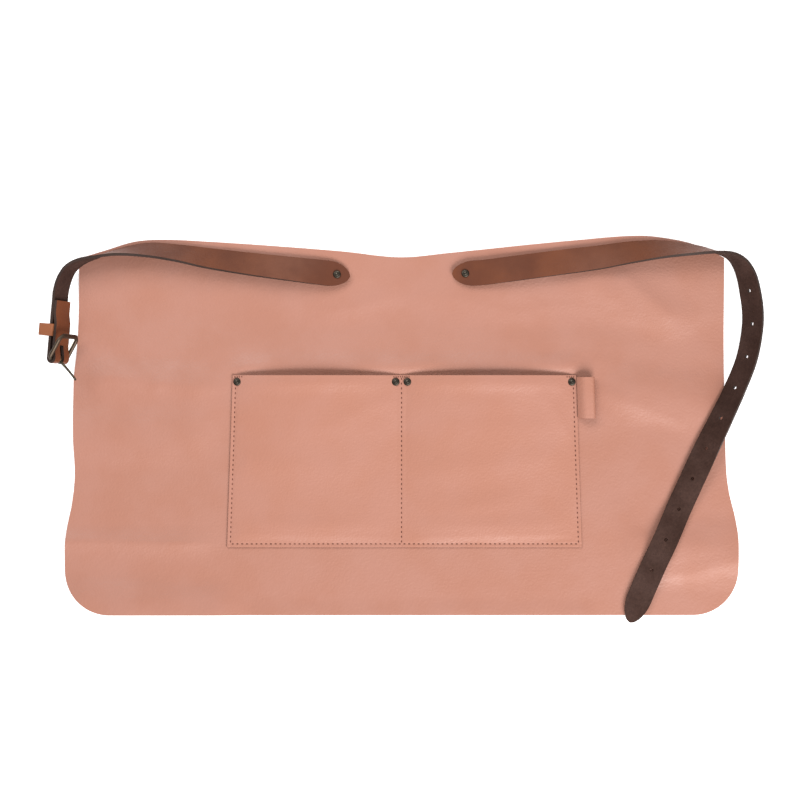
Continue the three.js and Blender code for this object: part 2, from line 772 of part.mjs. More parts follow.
function punchedStrapGeometry(rivet) {
  const rings = rivetedTipRings(punchedStation, -1);
  const lengths = strapLengths(rivetedTipLength, punchedLength - freeTipLength, STRAP_STEP);
  for (const length of lengths) rings.push(strapRing(punchedStation(length), strapWidth / 2, -1));
  for (const share of [...TIP_STEPS].reverse()) {
    const fromTip = share * freeTipLength;
    const station = punchedStation(punchedLength - fromTip);
    rings.push(strapRing(station, tipHalfWidth(fromTip, freeTipLength), -1));
  }
  const cutters = [rivetRoom(rivet)];
  for (let k = 0; k < holeCount; k += 1) cutters.push(strapHole(firstHoleFromTip + k * holePitch));
  return cut(ringSolid(rings, false), cutters);
}

// Buckle strap: its route, then a straight stretch to the buckle's bar, round it and back.
const buckleRouteLength = buckleRoute.getLength();

function buckleStation(length) {
  return strapStation(buckleRoute, BUCKLE_STRAP_ROUTE, 1, length);
}

const straight = buckleStation(buckleRouteLength);
const bar = straight.centre.clone().addScaledVector(straight.along, foldLength);
bar.addScaledVector(straight.out, -foldRadius);

// A place in the straight stretch: back along the strap from the bar, and out of its outer side
function nearBar(back, out) {
  return bar.clone().addScaledVector(straight.along, -back).addScaledVector(straight.out, out);
}

// A basis at a place in the straight stretch: Y out of the strap's outer side, Z back along the strap
function backwards(origin) {
  return placement(straight.across.clone().negate(), straight.out, straight.along.clone().negate(), origin);
}

// How far the folded end's centre is from the strap's centre, by the distance back from the bar
function foldApart(back) {
  const closed = strapThickness + GAP;
  const atKeeper = strapThickness + keeperLayer;
  const pastKeeper = keeperFromBar + keeperWidth;
  const toKeeper = smooth(0, keeperFromBar / 2, back);
  const toClosed = smooth(pastKeeper - keeperWidth / 2, pastKeeper + keeperWidth / 2, back);
  return THREE.MathUtils.lerp(THREE.MathUtils.lerp(2 * foldRadius, atKeeper, toKeeper), closed, toClosed);
}

function foldedEndRings() {
  const rings = [];
  const half = strapWidth / 2;
  const addRing = (centre, out) => rings.push(strapRing({ centre, across: straight.across, out }, half, 1));
  for (const back of strapLengths(0, foldLength, STRAP_STEP).reverse().slice(1, -1)) {
    addRing(nearBar(back, foldRadius), straight.out);
  }
  for (let degrees = 90; degrees >= -90; degrees -= 18) {
    const angle = THREE.MathUtils.degToRad(degrees);
    const out = straight.along.clone().multiplyScalar(Math.cos(angle));
    out.addScaledVector(straight.out, Math.sin(angle));
    addRing(bar.clone().addScaledVector(out, foldRadius), out);
  }
  const slopeStep = 0.5;
  for (const back of strapLengths(4, foldLength - GAP, 4)) {
    const slope = (foldApart(back + slopeStep) - foldApart(back - slopeStep)) / (2 * slopeStep);
    const out = straight.out.clone().negate().addScaledVector(straight.along, -slope).normalize();
    addRing(nearBar(back, foldRadius - foldApart(back)), out);
  }
  return rings;
}

function prongSlot() {
  const reach = prongSlotLength + 2 * foldRadius;
  const slot = new THREE.BoxGeometry(prongSlotWidth, 6 * foldRadius, reach);
  const centre = nearBar(prongSlotLength - reach / 2, 0);
  return slot.applyMatrix4(backwards(centre));
}

function buckleStrapGeometry(rivet) {
  const rings = rivetedTipRings(buckleStation, 1);
  for (const length of strapLengths(rivetedTipLength, buckleRouteLength, STRAP_STEP)) {
    rings.push(strapRing(buckleStation(length), strapWidth / 2, 1));
  }
  rings.push(...foldedEndRings());
  return cut(ringSolid(rings, false), [rivetRoom(rivet), prongSlot()]);
}

// Keeper loop: a band round the strap that stands out on its outer side.
function roundedOutline(halfWidth, low, high, lowRadius, highRadius, steps) {
  const points = [];
  const corners = [
    [halfWidth - highRadius, high - highRadius, highRadius, 0],
    [highRadius - halfWidth, high - highRadius, highRadius, 90],
    [lowRadius - halfWidth, low + lowRadius, lowRadius, 180],
    [halfWidth - lowRadius, low + lowRadius, lowRadius, 270],
  ];
  for (const [x, y, radius, start] of corners) {
    for (let k = 0; k <= steps; k += 1) {
      const angle = THREE.MathUtils.degToRad(start + (90 * k) / steps);
      points.push(new THREE.Vector2(x + radius * Math.cos(angle), y + radius * Math.sin(angle)));
    }
  }
  return points;
}

function keeperGeometry() {
  const wall = keeperThickness;
  const low = -strapThickness / 2 - GAP;
  const insideRound = wall / 4;
  const outside = roundedOutline(keeperHalfWidth, low - wall, keeperOut, wall, wall, 4);
  const inside = roundedOutline(keeperHalfWidth - wall, low, keeperOut - wall, insideRound, insideRound, 3);
  const shape = new THREE.Shape(outside);
  shape.holes.push(new THREE.Path(inside));
  const band = new THREE.ExtrudeGeometry(shape, { depth: keeperWidth, bevelEnabled: false });
  const back = keeperFromBar - keeperWidth / 2;
  const start = nearBar(back, foldRadius);
  return band.applyMatrix4(backwards(start));
}

// Buckle: the frame and the prong turn on the bar, each by its own angle from the strap's direction.
function turnedDirection(degrees) {
  const angle = THREE.MathUtils.degToRad(degrees);
  const direction = straight.along.clone().multiplyScalar(Math.cos(angle));
  return direction.addScaledVector(straight.out, -Math.sin(angle));
}

function buckleFrameGeometry() {
  const forward = turnedDirection(frameTurn);
  const normal = straight.across.clone().cross(forward);
  const halfWidth = strapWidth / 2 + frameSideGap + wireRadius;
  const front = frameLength - 2 * wireRadius;
  const barCornerRadius = frameSideGap + wireRadius;
  const path = roundedOutline(halfWidth, 0, front, barCornerRadius, frameCornerRadius, 5);
  const section = 8;
  const rings = path.map((point, k) => {
    const before = path.at(k - 1);
    const after = path[(k + 1) % path.length];
    const travel = after.clone().sub(before).normalize();
    const outward = new THREE.Vector2(travel.y, -travel.x);
    const out = straight.across.clone().multiplyScalar(outward.x).addScaledVector(forward, outward.y);
    const centre = bar.clone().addScaledVector(straight.across, point.x).addScaledVector(forward, point.y);
    const pastBar = smooth(0, barCornerRadius, point.y);
    const railOut = THREE.MathUtils.lerp(wireRadius, railWidth - wireRadius, pastBar);
    return Array.from({ length: section }, (_, m) => {
      const angle = (2 * Math.PI * m) / section;
      const wide = Math.cos(angle) > 0 ? railOut : wireRadius;
      const reach = out.clone().multiplyScalar(wide * Math.cos(angle));
      return reach.addScaledVector(normal, -wireRadius * Math.sin(angle)).add(centre);
    });
  });
  return ringSolid(rings, true);
}

function prongGeometry() {
  const forward = turnedDirection(prongTurn);
  const normal = straight.across.clone().cross(forward);
  const inner = wireRadius + GAP;
  const outer = inner + prongEyeWall;
  const half = prongEyeWidth / 2;
  const ease = prongRadius / 3;
  const eye = [
    [inner, -half],
    [outer - ease, -half],
    [outer, ease - half],
    [outer, half - ease],
    [outer - ease, half],
    [inner, half],
    [inner, -half],
  ].map(([radius, height]) => new THREE.Vector2(radius, height));
  const ring = new THREE.LatheGeometry(eye, 16);
  ring.applyMatrix4(placement(forward, straight.across, normal.clone().negate(), bar));
  const section = 8;
  const start = (inner + outer) / 2;
  const rings = [0, 0.25, 0.5, 0.75, 0.9, 1].map((share) => {
    const reach = THREE.MathUtils.lerp(start, prongLength, share);
    const radius = THREE.MathUtils.lerp(prongRadius, prongTipRadius, share);
    const droop = prongRadius * share ** 3;
    const centre = bar.clone().addScaledVector(forward, reach).addScaledVector(normal, -droop);
    return Array.from({ length: section }, (_, m) => {
      const angle = (2 * Math.PI * m) / section;
      const point = straight.across.clone().multiplyScalar(radius * Math.cos(angle));
      return point.addScaledVector(normal, -radius * Math.sin(angle)).add(centre);
    });
  });
  const joined = toSolid(ring).add(toSolid(ringSolid(rings, false)));
  return toGeometry(joined);
}

// Scene
const panelLeather = leather('#d49f88', 0.5);
const pocketLeather = leather('#d9a48c', 0.48);
const loopLeather = leather('#dba68e', 0.5);
const buckleStrapLeather = leather('#70432f', 0.55);
const punchedStrapLeather = leather('#5f3a2c', 0.6);
const keeperLeather = leather('#8d4f33', 0.55);
const frameBrass = metal('#8c7448', 0.35);
const prongBrass = metal('#5c4a35', 0.45);

function rivetBrass() {
  return metal('#6d5a40', 0.4);
}

const pocketRivets = pocketRivetPlaces.map((place) => {
  const top = pocketUnder(place.x, place.y) + pocketThickness;
  return seatedRivet(place, top);
});
const strapTops = [buckleStation(rivetFromTip), punchedStation(rivetFromTip)];
const beltRivets = strapRivetPlaces.map((place, k) => {
  return seatedRivet(place, strapTops[k].centre.z + strapThickness / 2);
});
const rivets = [...pocketRivets, ...beltRivets];

const panelSheet = sheetGeometry(gradedShares(28), gradedShares(30), panelSurface);
const pocketSheet = sheetGeometry(pocketColumns(), pocketRows(), pocketSurface);

const apron = new THREE.Group();
apron.name = 'apron';

function addPiece(name, geometry, material) {
  const piece = new THREE.Mesh(geometry, material);
  piece.name = name;
  apron.add(piece);
}

addPiece('apron_panel', cut(panelSheet, rivets.map(rivetRoom)), panelLeather);
addPiece('pocket_panel', cut(pocketSheet, pocketRivets.map(rivetRoom)), pocketLeather);
addPiece('side_loop', sideLoopGeometry(), loopLeather);
addPiece('buckle_strap', buckleStrapGeometry(beltRivets[0]), buckleStrapLeather);
addPiece('punched_strap', punchedStrapGeometry(beltRivets[1]), punchedStrapLeather);
addPiece('keeper_loop', keeperGeometry(), keeperLeather);
addPiece('buckle_frame', buckleFrameGeometry(), frameBrass);
addPiece('buckle_prong', prongGeometry(), prongBrass);
for (const rivet of rivets) addPiece(rivet.name, rivetGeometry(rivet), rivetBrass());

// The origin goes under the middle of the whole apron.
const extent = new THREE.Box3().setFromObject(apron);
const middle = extent.getCenter(new THREE.Vector3());
apron.position.set(-middle.x, -middle.y, -extent.min.z);

export default apron;
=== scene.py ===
# %% [markdown]
# # A leather waist apron, laid open
# The apron is one soft panel with a patch pocket sewn on, a small loop beside the pocket, and a belt
# in two straps that are riveted near the waist edge. It lies on its inner side, and the straps twist
# over and come back past the panel, so they show their darker inner side.
# The solids are loaded first. Everything below is in metres in their frame, so a piece goes where the
# solids say, and the sizes below are in millimetres because leather is measured that way.

# %% The frame and its box
import json
import math
import bmesh
import bpy
from mathutils import Matrix, Vector, noise


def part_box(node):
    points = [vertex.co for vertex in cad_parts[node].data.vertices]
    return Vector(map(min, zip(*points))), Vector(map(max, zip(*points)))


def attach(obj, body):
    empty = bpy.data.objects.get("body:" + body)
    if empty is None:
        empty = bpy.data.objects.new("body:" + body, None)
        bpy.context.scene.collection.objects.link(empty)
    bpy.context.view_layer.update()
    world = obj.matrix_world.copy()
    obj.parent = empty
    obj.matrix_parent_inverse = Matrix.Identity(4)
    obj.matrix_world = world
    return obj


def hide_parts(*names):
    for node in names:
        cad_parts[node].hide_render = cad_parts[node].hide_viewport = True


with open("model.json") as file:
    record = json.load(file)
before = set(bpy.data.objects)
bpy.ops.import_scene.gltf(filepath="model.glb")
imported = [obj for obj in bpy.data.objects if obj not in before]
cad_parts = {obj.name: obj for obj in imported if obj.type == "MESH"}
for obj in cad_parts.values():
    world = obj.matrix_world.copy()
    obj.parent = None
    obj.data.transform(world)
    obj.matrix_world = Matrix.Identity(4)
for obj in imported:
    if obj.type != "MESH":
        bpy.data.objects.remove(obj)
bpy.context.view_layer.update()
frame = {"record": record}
MM = 0.001
panel_low, panel_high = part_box("apron_panel")
MIDDLE = (panel_low.x + panel_high.x) / 2
HEM = panel_low.y


# %% Putting an object in the scene
def add_object(name, data):
    made = bpy.data.objects.new(name, data)
    bpy.context.collection.objects.link(made)
    return made


# %% [markdown]
# ## The camera
# The apron was seen from straight above, with the waist at the top. A long lens far away keeps the
# lifted straps from leaning outwards, so the camera stands high and looks straight down.

# %% Camera over the apron
PICTURE_WIDTH = 0.832
CAMERA_HEIGHT = 2.4
VIEW_X, VIEW_Y = -0.0016, 0.2236
camera_data = bpy.data.cameras.new("overhead_camera")
camera_data.sensor_width = 36
camera_data.lens = camera_data.sensor_width * CAMERA_HEIGHT / PICTURE_WIDTH
camera = add_object("overhead_camera", camera_data)
camera.location = (MIDDLE + VIEW_X, HEM + VIEW_Y, CAMERA_HEIGHT)
bpy.context.scene.camera = camera
print(f"camera: {camera_data.lens:.1f} mm lens")

# %% [markdown]
# ## Reading tables
# Folded leather has no simple formula. Its outline and the way the straps turn are written as short
# tables instead, and a smooth curve is drawn through each table's rows.

# %% Smooth steps and smooth tables
def clamp(value):
    return min(1.0, max(0.0, value))


def smooth(low, high, value):
    share = clamp((value - low) / (high - low))
    return share * share * (3 - 2 * share)


def mix(start, end, share):
    return start + (end - start) * share


def read_table(rows, at, column=1):
    last = len(rows) - 1
    row = 0
    while row < last - 1 and at > rows[row + 1][0]:
        row += 1

    def slope(k):
        before, after = rows[max(k - 1, 0)], rows[min(k + 1, last)]
        return (after[column] - before[column]) / (after[0] - before[0])

    step = rows[row + 1][0] - rows[row][0]
    t = clamp((at - rows[row][0]) / step)
    start, end = rows[row][column], rows[row + 1][column]
    share = 2 * t**3 - 3 * t**2 + 1
    pulls = (t**3 - 2 * t**2 + t) * step * slope(row) + (t**3 - t**2) * step * slope(row + 1)
    return share * start + pulls + (1 - share) * end


# %% [markdown]
# ## The panel's outline
# The waist edge dips in the middle and the sides flare towards the hem, with a rounded corner at each
# end of the hem. A flat grid is stretched between these four edges, which keeps its rows evenly
# spread, as the leather's own surface is.

# %% Panel sizes and edges
WAIST_WIDTH, HEM_WIDTH, PANEL_HEIGHT = 669, 700, 371
PANEL_THICKNESS, WAIST_RISE, CORNER = 1.6, 23, 47
FLARE = (HEM_WIDTH - WAIST_WIDTH) / 2
GAP, LEATHER_GAP = 0.3, 0.6
WAIST_EDGE = [
    (0.0, -0.02), (0.04, 0.33), (0.086, 0.73), (0.132, 0.82), (0.202, 0.73), (0.295, 0.55),
    (0.412, 0.27), (0.498, 0.03), (0.575, 0.23), (0.669, 0.5), (0.762, 0.77), (0.866, 1.0),
    (0.925, 0.82), (0.972, 0.43), (1.0, 0.0),
]
LEFT_EDGE = [
    (0.0, 0.0), (0.17, 0.07), (0.26, 0.2), (0.34, 0.4), (0.5, 0.42), (0.61, 0.33), (0.69, 0.53),
    (0.76, 0.87), (0.83, 1.0), (1.0, 0.9),
]
RIGHT_EDGE = [
    (0.0, 0.0), (0.3, 0.03), (0.5, 0.1), (0.6, 0.2), (0.66, 0.4), (0.73, 0.8), (0.8, 1.0), (1.0, 0.88),
]


def side_x(sign, y):
    edge = LEFT_EDGE if sign < 0 else RIGHT_EDGE
    return sign * (WAIST_WIDTH / 2 + FLARE * read_table(edge, 1 - y / PANEL_HEIGHT))


def waist_y(x):
    return PANEL_HEIGHT + WAIST_RISE * read_table(WAIST_EDGE, x / WAIST_WIDTH + 0.5)


# %% From the waist down a side, and along the hem
HALF_ARC = CORNER * math.pi / 4
CORNER_X = {sign: side_x(sign, CORNER) - sign * CORNER for sign in (-1, 1)}


def corner_place(sign, degrees):
    angle = math.radians(degrees)
    return CORNER_X[sign] + sign * CORNER * math.cos(angle), CORNER - CORNER * math.sin(angle)


def side_edge(sign, v):
    top = waist_y(sign * WAIST_WIDTH / 2)
    length = v * (top - CORNER + HALF_ARC)
    if length > top - CORNER:
        return corner_place(sign, (length - top + CORNER) / HALF_ARC * 45)
    return side_x(sign, top - length), top - length


def hem_edge(u):
    straight = CORNER_X[1] - CORNER_X[-1]
    length = u * (straight + 2 * HALF_ARC)
    if length < HALF_ARC:
        return corner_place(-1, 45 + length / HALF_ARC * 45)
    past = length - HALF_ARC - straight
    if past > 0:
        return corner_place(1, 90 - past / HALF_ARC * 45)
    return CORNER_X[-1] + length - HALF_ARC, 0.0


def waist_edge(u):
    x = (u - 0.5) * WAIST_WIDTH
    return x, waist_y(x)


def panel_place(u, v):
    waist, hem, left, right = waist_edge(u), hem_edge(u), side_edge(-1, v), side_edge(1, v)
    place = []
    for k in (0, 1):
        corners = (1 - v) * mix(waist_edge(0)[k], waist_edge(1)[k], u)
        corners += v * mix(hem_edge(0)[k], hem_edge(1)[k], u)
        place.append(mix(waist[k], hem[k], v) + mix(left[k], right[k], u) - corners)
    return place


print(f"waist {WAIST_WIDTH} mm, hem {HEM_WIDTH} mm")

# %% [markdown]
# ## How the leather lies
# A sheet of leather that has been folded away keeps low, wide ridges. Each row of the table is one
# ridge between two places, with its width and height. The leather lies flat under the pocket, where
# the second layer stiffens it, and it rolls a little along the pocket's mouth.

# %% Ridges of the panel: from across, from up, to across, to up, spread, rise
FOLDS = [
    (-0.52, 1.04, -0.12, 1.05, 0.16, 1.0), (-0.1, 1.0, 0.16, 1.01, 0.15, 0.75),
    (0.2, 1.05, 0.5, 1.0, 0.17, 1.1), (-0.46, 0.67, -0.27, 0.64, 0.055, 0.75),
    (-0.25, 0.66, 0.26, 0.665, 0.06, 0.4), (-0.53, 0.51, -0.3, 0.51, 0.09, 0.8),
    (-0.53, 0.205, -0.29, 0.2, 0.045, 0.6), (-0.49, 0.02, -0.3, 0.0, 0.1, 0.85),
    (-0.2, -0.01, 0.28, -0.01, 0.06, 0.45), (0.3, 0.93, 0.42, 0.83, 0.06, 0.5),
    (0.32, 0.63, 0.46, 0.6, 0.08, 0.85), (0.5, 0.52, 0.54, 0.42, 0.08, 0.7),
    (0.33, 0.3, 0.37, 0.12, 0.05, 0.45), (0.42, 0.18, 0.54, 0.17, 0.09, 0.9),
]
FOLD_RISE, FOLD_FLOOR, FOLD_SOFTNESS = 7, 0.16, 0.2

# %% Pocket sizes, which the panel's flat part follows
MOUTH_WIDTH, BASE_WIDTH, POCKET_HEIGHT = 357, 369, 179
POCKET_THICKNESS, POCKET_FOOT, POCKET_SHIFT = 1.4, 70.5, 3
MOUTH_RISE, SEAM, DIVIDER_X = 8, 5, 0
POCKET_TOP = POCKET_FOOT + POCKET_HEIGHT
LOOP_REACH, LOOP_HEIGHT, LOOP_BELOW, LOOP_THICKNESS, LOOP_INSIDE = 18.4, 43, 2, 1.3, 6.4
CAP_RADIUS, CAP_HEIGHT, POST_RADIUS, BACK_THICKNESS, PRESS = 4.1, 1.7, 1.5, 1.1, 0.25
RIVET_FROM_MOUTH, BACK_CLEARANCE = 7, 0.4
RIVET_Y = POCKET_TOP - RIVET_FROM_MOUTH
RIVET_LIFT = BACK_THICKNESS + GAP + BACK_CLEARANCE
REST_FADE, CREASE_FADE = 9 * SEAM, 7
FULL_CREASE_LIFT, RIPPLE_RISE = 1.5, 0.55


def pocket_side(sign, y):
    down = clamp((POCKET_TOP - y) / POCKET_HEIGHT)
    return POCKET_SHIFT + sign / 2 * mix(MOUTH_WIDTH, BASE_WIDTH, down)


def inside_pocket(x, y):
    left, right = x - pocket_side(-1, y), pocket_side(1, y) + LOOP_REACH - x
    return min(left, right, y - POCKET_FOOT, POCKET_TOP - y)


def rest_window(x, y):
    return smooth(-REST_FADE, 0, inside_pocket(x, y))


def mouth_roll(x, y):
    beyond = max(pocket_side(-1, y) - x, x - pocket_side(1, y) - LOOP_REACH)
    across = 1 - smooth(0, 2 * REST_FADE, beyond)
    return RIVET_LIFT * across * (1 - smooth(3 * CAP_RADIUS, 15 * CAP_RADIUS, abs(y - RIVET_Y)))


# %% Height of the panel's underside over the floor
BELT_RIVETS = {}


def ridge_distance(x, y, x0, y0, x1, y1):
    run_x, run_y = x1 - x0, y1 - y0
    share = clamp(((x - x0) * run_x + (y - y0) * run_y) / (run_x**2 + run_y**2))
    return math.hypot(x - x0 - share * run_x, y - y0 - share * run_y)


def ridges(x, y):
    total = 0
    for x0, y0, x1, y1, spread, rise in FOLDS:
        ends = x0 * WAIST_WIDTH, y0 * PANEL_HEIGHT, x1 * WAIST_WIDTH, y1 * PANEL_HEIGHT
        distance = ridge_distance(x, y, *ends) / (spread * PANEL_HEIGHT)
        total += rise * math.exp(-distance * distance)
    spare = max(0.0, total - FOLD_FLOOR)
    return spare * spare / (spare + FOLD_SOFTNESS)


def panel_lift(x, y):
    lift = FOLD_RISE * ridges(x, y) * (1 - rest_window(x, y)) + mouth_roll(x, y)
    for place in BELT_RIVETS.values():
        away = math.hypot(x - place.x, y - place.y)
        lift = max(lift, RIVET_LIFT * (1 - smooth(3 * CAP_RADIUS, 11 * CAP_RADIUS, away)))
    return lift


# %% [markdown]
# ## Small creases
# Over the wide folds lie small ones: a crisp line where the apron was folded in half, a crease that
# runs from the left edge into the pocket's mouth, a soft ridge behind the mouth, and faint ripples
# everywhere. They are low ridges in the same way, only narrower, and a slow noise adds unevenness.

# %% Creases in millimetres: x0, y0, x1, y1, spread, rise
CREASES = [
    (-352, 77, -186, 74, 4, 0.55), (-303, 247, -252, 239, 7, 0.7), (-252, 239, -186, 236, 8, 0.7),
    (232, 348, 274, 312, 9, 1.2), (205, 232, 288, 200, 8, 0.8), (250, 96, 278, 68, 7, -0.9),
    (285, 40, 345, 54, 9, 0.8), (-320, 150, -250, 160, 12, 0.5), (-120, 26, 60, 20, 10, 0.6),
    (80, 44, 190, 52, 9, 0.5), (-300, 300, -200, 322, 14, 0.5), (20, 318, 150, 300, 13, 0.5),
    (-90, 300, -20, 330, 12, 0.4), (236, 150, 262, 132, 8, 0.5), (-330, 110, -280, 104, 8, 0.4),
    (-160, 258, 172, 258, 12, 2.2), (-345, 0, -190, -4, 34, 1.6), (-345, 52, -200, 48, 18, -0.9),
    (120, 64, 345, 72, 28, 0.6), (-330, 318, 330, 318, 30, 0.8),
]


def creases(x, y):
    total = 0
    for x0, y0, x1, y1, spread, rise in CREASES:
        distance = ridge_distance(x, y, x0, y0, x1, y1) / spread
        if distance < 3:
            total += rise * math.exp(-distance * distance)
    ripple = noise.noise(Vector((x / 62, y / 34, 1.7))) + 0.5 * noise.noise(Vector((x / 27, y / 16, 5.1)))
    return total + RIPPLE_RISE * ripple


def panel_top(x, y):
    return panel_lift(x, y) + PANEL_THICKNESS


def fine_lift(x, y):
    held = smooth(-CREASE_FADE, 0, inside_pocket(x, y))
    edge = min(1.0, panel_lift(x, y) / FULL_CREASE_LIFT)
    return max(0.0, panel_lift(x, y) + creases(x, y) * (1 - held) * edge)


# %% [markdown]
# ## Making a piece
# A bmesh operator gives the flat shape, and each of its points is then moved to where the leather
# lies. The same few lines end every piece: the mesh becomes an object, gets its finish, rides on its
# body and takes the place of its plain solid.

# %% Places in the frame, and the end of every piece
def at(x, y, z):
    return Vector((MIDDLE + x * MM, HEM + y * MM, z * MM))


def finish_piece(name, shape, finishes, body="apron", nodes=()):
    mesh = bpy.data.meshes.new(name)
    shape.to_mesh(mesh)
    shape.free()
    mesh.shade_smooth()
    for finish in finishes:
        mesh.materials.append(finish)
    piece = add_object(name, mesh)
    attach(piece, body)
    if nodes:
        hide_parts(*nodes)
    print(f"{name}: {len(mesh.polygons)} faces")
    return piece


def ease_edges(piece, width, segments=2):
    edge = piece.modifiers.new("eased_edge", "BEVEL")
    edge.width = width * MM
    edge.segments = segments
    edge.limit_method = "ANGLE"
    edge.angle_limit = math.radians(50)
    edge.harden_normals = True


def give_thickness(piece, thickness, offset, ease, sides=0):
    wall = piece.modifiers.new("thickness", "SOLIDIFY")
    wall.thickness = thickness * MM
    wall.offset = offset
    wall.material_offset = sides
    wall.material_offset_rim = 2 * sides if sides else 1
    ease_edges(piece, ease)


# %% [markdown]
# ## Finishes
# Smooth leather has three things to see: pores, which only catch the light, slow patches of lighter
# and darker dye, and now and then a small mark. All leathers share them at different strengths, so
# they are one node group, and each leather mixes its own colours with what the group puts out.

# %% Small helpers for nodes
def add_node(tree, kind, values=None, **settings):
    made = tree.nodes.new(kind)
    for name, value in settings.items():
        setattr(made, name, value)
    for name, value in (values or {}).items():
        made.inputs[name].default_value = value
    return made


def wire(tree, *links):
    for start, output, end, entry in links:
        tree.links.new(start.outputs[output], end.inputs[entry])


def contrast(tree, low, high):
    limits = {"From Min": low, "From Max": high}
    return add_node(tree, "ShaderNodeMapRange", limits, interpolation_type="SMOOTHSTEP")


def new_material(name):
    finish = bpy.data.materials.new(name)
    finish.use_nodes = True
    return finish, finish.node_tree.nodes["Principled BSDF"]


def new_group(name, inputs, outputs):
    group = bpy.data.node_groups.new(name, "ShaderNodeTree")
    for label, value in inputs:
        socket = group.interface.new_socket(label, in_out="INPUT", socket_type="NodeSocketFloat")
        socket.default_value = value
    for label in outputs:
        group.interface.new_socket(label, in_out="OUTPUT", socket_type="NodeSocketFloat")
    return group, add_node(group, "NodeGroupInput"), add_node(group, "NodeGroupOutput")


# %% Leather grain: pores as height, patches and marks as masks
grain_group, entry, leave = new_group(
    "leather_grain", [("Pore Scale", 700.0), ("Patch Scale", 16.0)], ["Height", "Patches", "Marks", "Fibre"]
)
where = add_node(grain_group, "ShaderNodeTexCoord")
pores = add_node(grain_group, "ShaderNodeTexVoronoi", feature="SMOOTH_F1")
pebbles = add_node(grain_group, "ShaderNodeTexNoise", {"Detail": 3.0, "Roughness": 0.6})
patches = add_node(grain_group, "ShaderNodeTexNoise", {"Detail": 4.0, "Roughness": 0.55})
marks = add_node(grain_group, "ShaderNodeTexNoise", {"Scale": 95.0, "Detail": 2.0})
fibre = add_node(grain_group, "ShaderNodeTexNoise", {"Scale": 420.0, "Detail": 4.0, "Distortion": 1.2})
coarser = add_node(grain_group, "ShaderNodeMath", {1: 0.35}, operation="MULTIPLY")
together = add_node(grain_group, "ShaderNodeMath", operation="ADD")
spread_patches = contrast(grain_group, 0.32, 0.68)
rare = contrast(grain_group, 0.66, 0.76)
wire(
    grain_group, *((where, "Object", texture, "Vector") for texture in (pores, pebbles, patches, marks, fibre)),
    (entry, "Pore Scale", pores, "Scale"), (entry, "Pore Scale", coarser, 0), (coarser, 0, pebbles, "Scale"),
    (entry, "Patch Scale", patches, "Scale"), (pores, "Distance", together, 0), (pebbles, "Fac", together, 1),
    (together, 0, leave, "Height"), (patches, "Fac", spread_patches, "Value"),
    (spread_patches, "Result", leave, "Patches"), (marks, "Fac", rare, "Value"),
    (rare, "Result", leave, "Marks"), (fibre, "Fac", leave, "Fibre"),
)


# %% One leather from two dyes and a mark
def leather(name, light, dark, mark, rough, relief, gloss=0.5, pore_scale=700.0, patch_scale=16.0, fibre=0.0):
    finish, skin = new_material(name)
    tree = finish.node_tree
    skin.inputs["Specular IOR Level"].default_value = gloss
    scales = {"Pore Scale": pore_scale, "Patch Scale": patch_scale}
    grain = add_node(tree, "ShaderNodeGroup", scales, node_tree=grain_group)
    dyes = add_node(tree, "ShaderNodeMix", {6: (*light, 1), 7: (*dark, 1)}, data_type="RGBA")
    fibres = add_node(tree, "ShaderNodeMix", {7: (*mark, 1)}, data_type="RGBA", blend_type="MULTIPLY")
    strength = add_node(tree, "ShaderNodeMath", {1: fibre}, operation="MULTIPLY")
    marked = add_node(tree, "ShaderNodeMix", {7: (*mark, 1)}, data_type="RGBA")
    faint = add_node(tree, "ShaderNodeMath", {1: 0.06}, operation="MULTIPLY")
    roughness = add_node(tree, "ShaderNodeMapRange", {"To Min": rough - 0.06, "To Max": rough + 0.08})
    bump = add_node(tree, "ShaderNodeBump", {"Strength": relief, "Distance": 0.0003})
    wire(
        tree, (grain, "Patches", dyes, 0), (grain, "Fibre", strength, 0), (strength, 0, fibres, 0),
        (dyes, 2, fibres, 6), (grain, "Marks", faint, 0), (faint, 0, marked, 0), (fibres, 2, marked, 6),
        (marked, 2, skin, "Base Color"), (grain, "Patches", roughness, "Value"),
        (roughness, "Result", skin, "Roughness"), (grain, "Height", bump, "Height"),
        (bump, "Normal", skin, "Normal"),
    )
    return finish


PINK_MARK, BROWN_MARK = (0.3, 0.12, 0.075), (0.05, 0.018, 0.012)
PANEL_LEATHER = leather(
    "panel_leather", (0.34, 0.156, 0.113), (0.322, 0.137, 0.092), PINK_MARK, 0.48, 0.65,
    gloss=0.42, pore_scale=500.0,
)
POCKET_LEATHER = leather(
    "pocket_leather", (0.35, 0.158, 0.113), (0.335, 0.141, 0.093), PINK_MARK, 0.47, 0.65,
    gloss=0.42, pore_scale=500.0,
)
PANEL_EDGE = leather("panel_cut_edge", (0.38, 0.17, 0.12), (0.3, 0.13, 0.09), PINK_MARK, 0.7, 0.8, fibre=0.4)
# The pocket's cut edge is darker than the leather's own edge colour. This is painted shade, which draws the
# shaded line along the edges of the pocket and the loop.
POCKET_EDGE_AND_SHADE = leather(
    "pocket_cut_edge_and_shade", (0.2, 0.075, 0.05), (0.15, 0.05, 0.035), PINK_MARK, 0.7, 0.8, fibre=0.4
)
STRAP_GRAIN = leather(
    "strap_grain_side", (0.13, 0.038, 0.015), (0.088, 0.025, 0.011), BROWN_MARK, 0.5, 0.4, gloss=0.2
)
STRAP_FLESH = leather(
    "strap_flesh_side", (0.062, 0.03, 0.022), (0.044, 0.02, 0.014), BROWN_MARK, 0.8, 0.8, gloss=0.15,
    pore_scale=420.0, patch_scale=40.0, fibre=0.7,
)
STRAP_EDGE = leather(
    "strap_cut_edge", (0.036, 0.02, 0.015), (0.024, 0.013, 0.01), BROWN_MARK, 0.65, 0.6, gloss=0.2
)
KEEPER_LEATHER = leather(
    "keeper_leather", (0.24, 0.078, 0.03), (0.16, 0.05, 0.02), BROWN_MARK, 0.5, 0.4, gloss=0.35
)
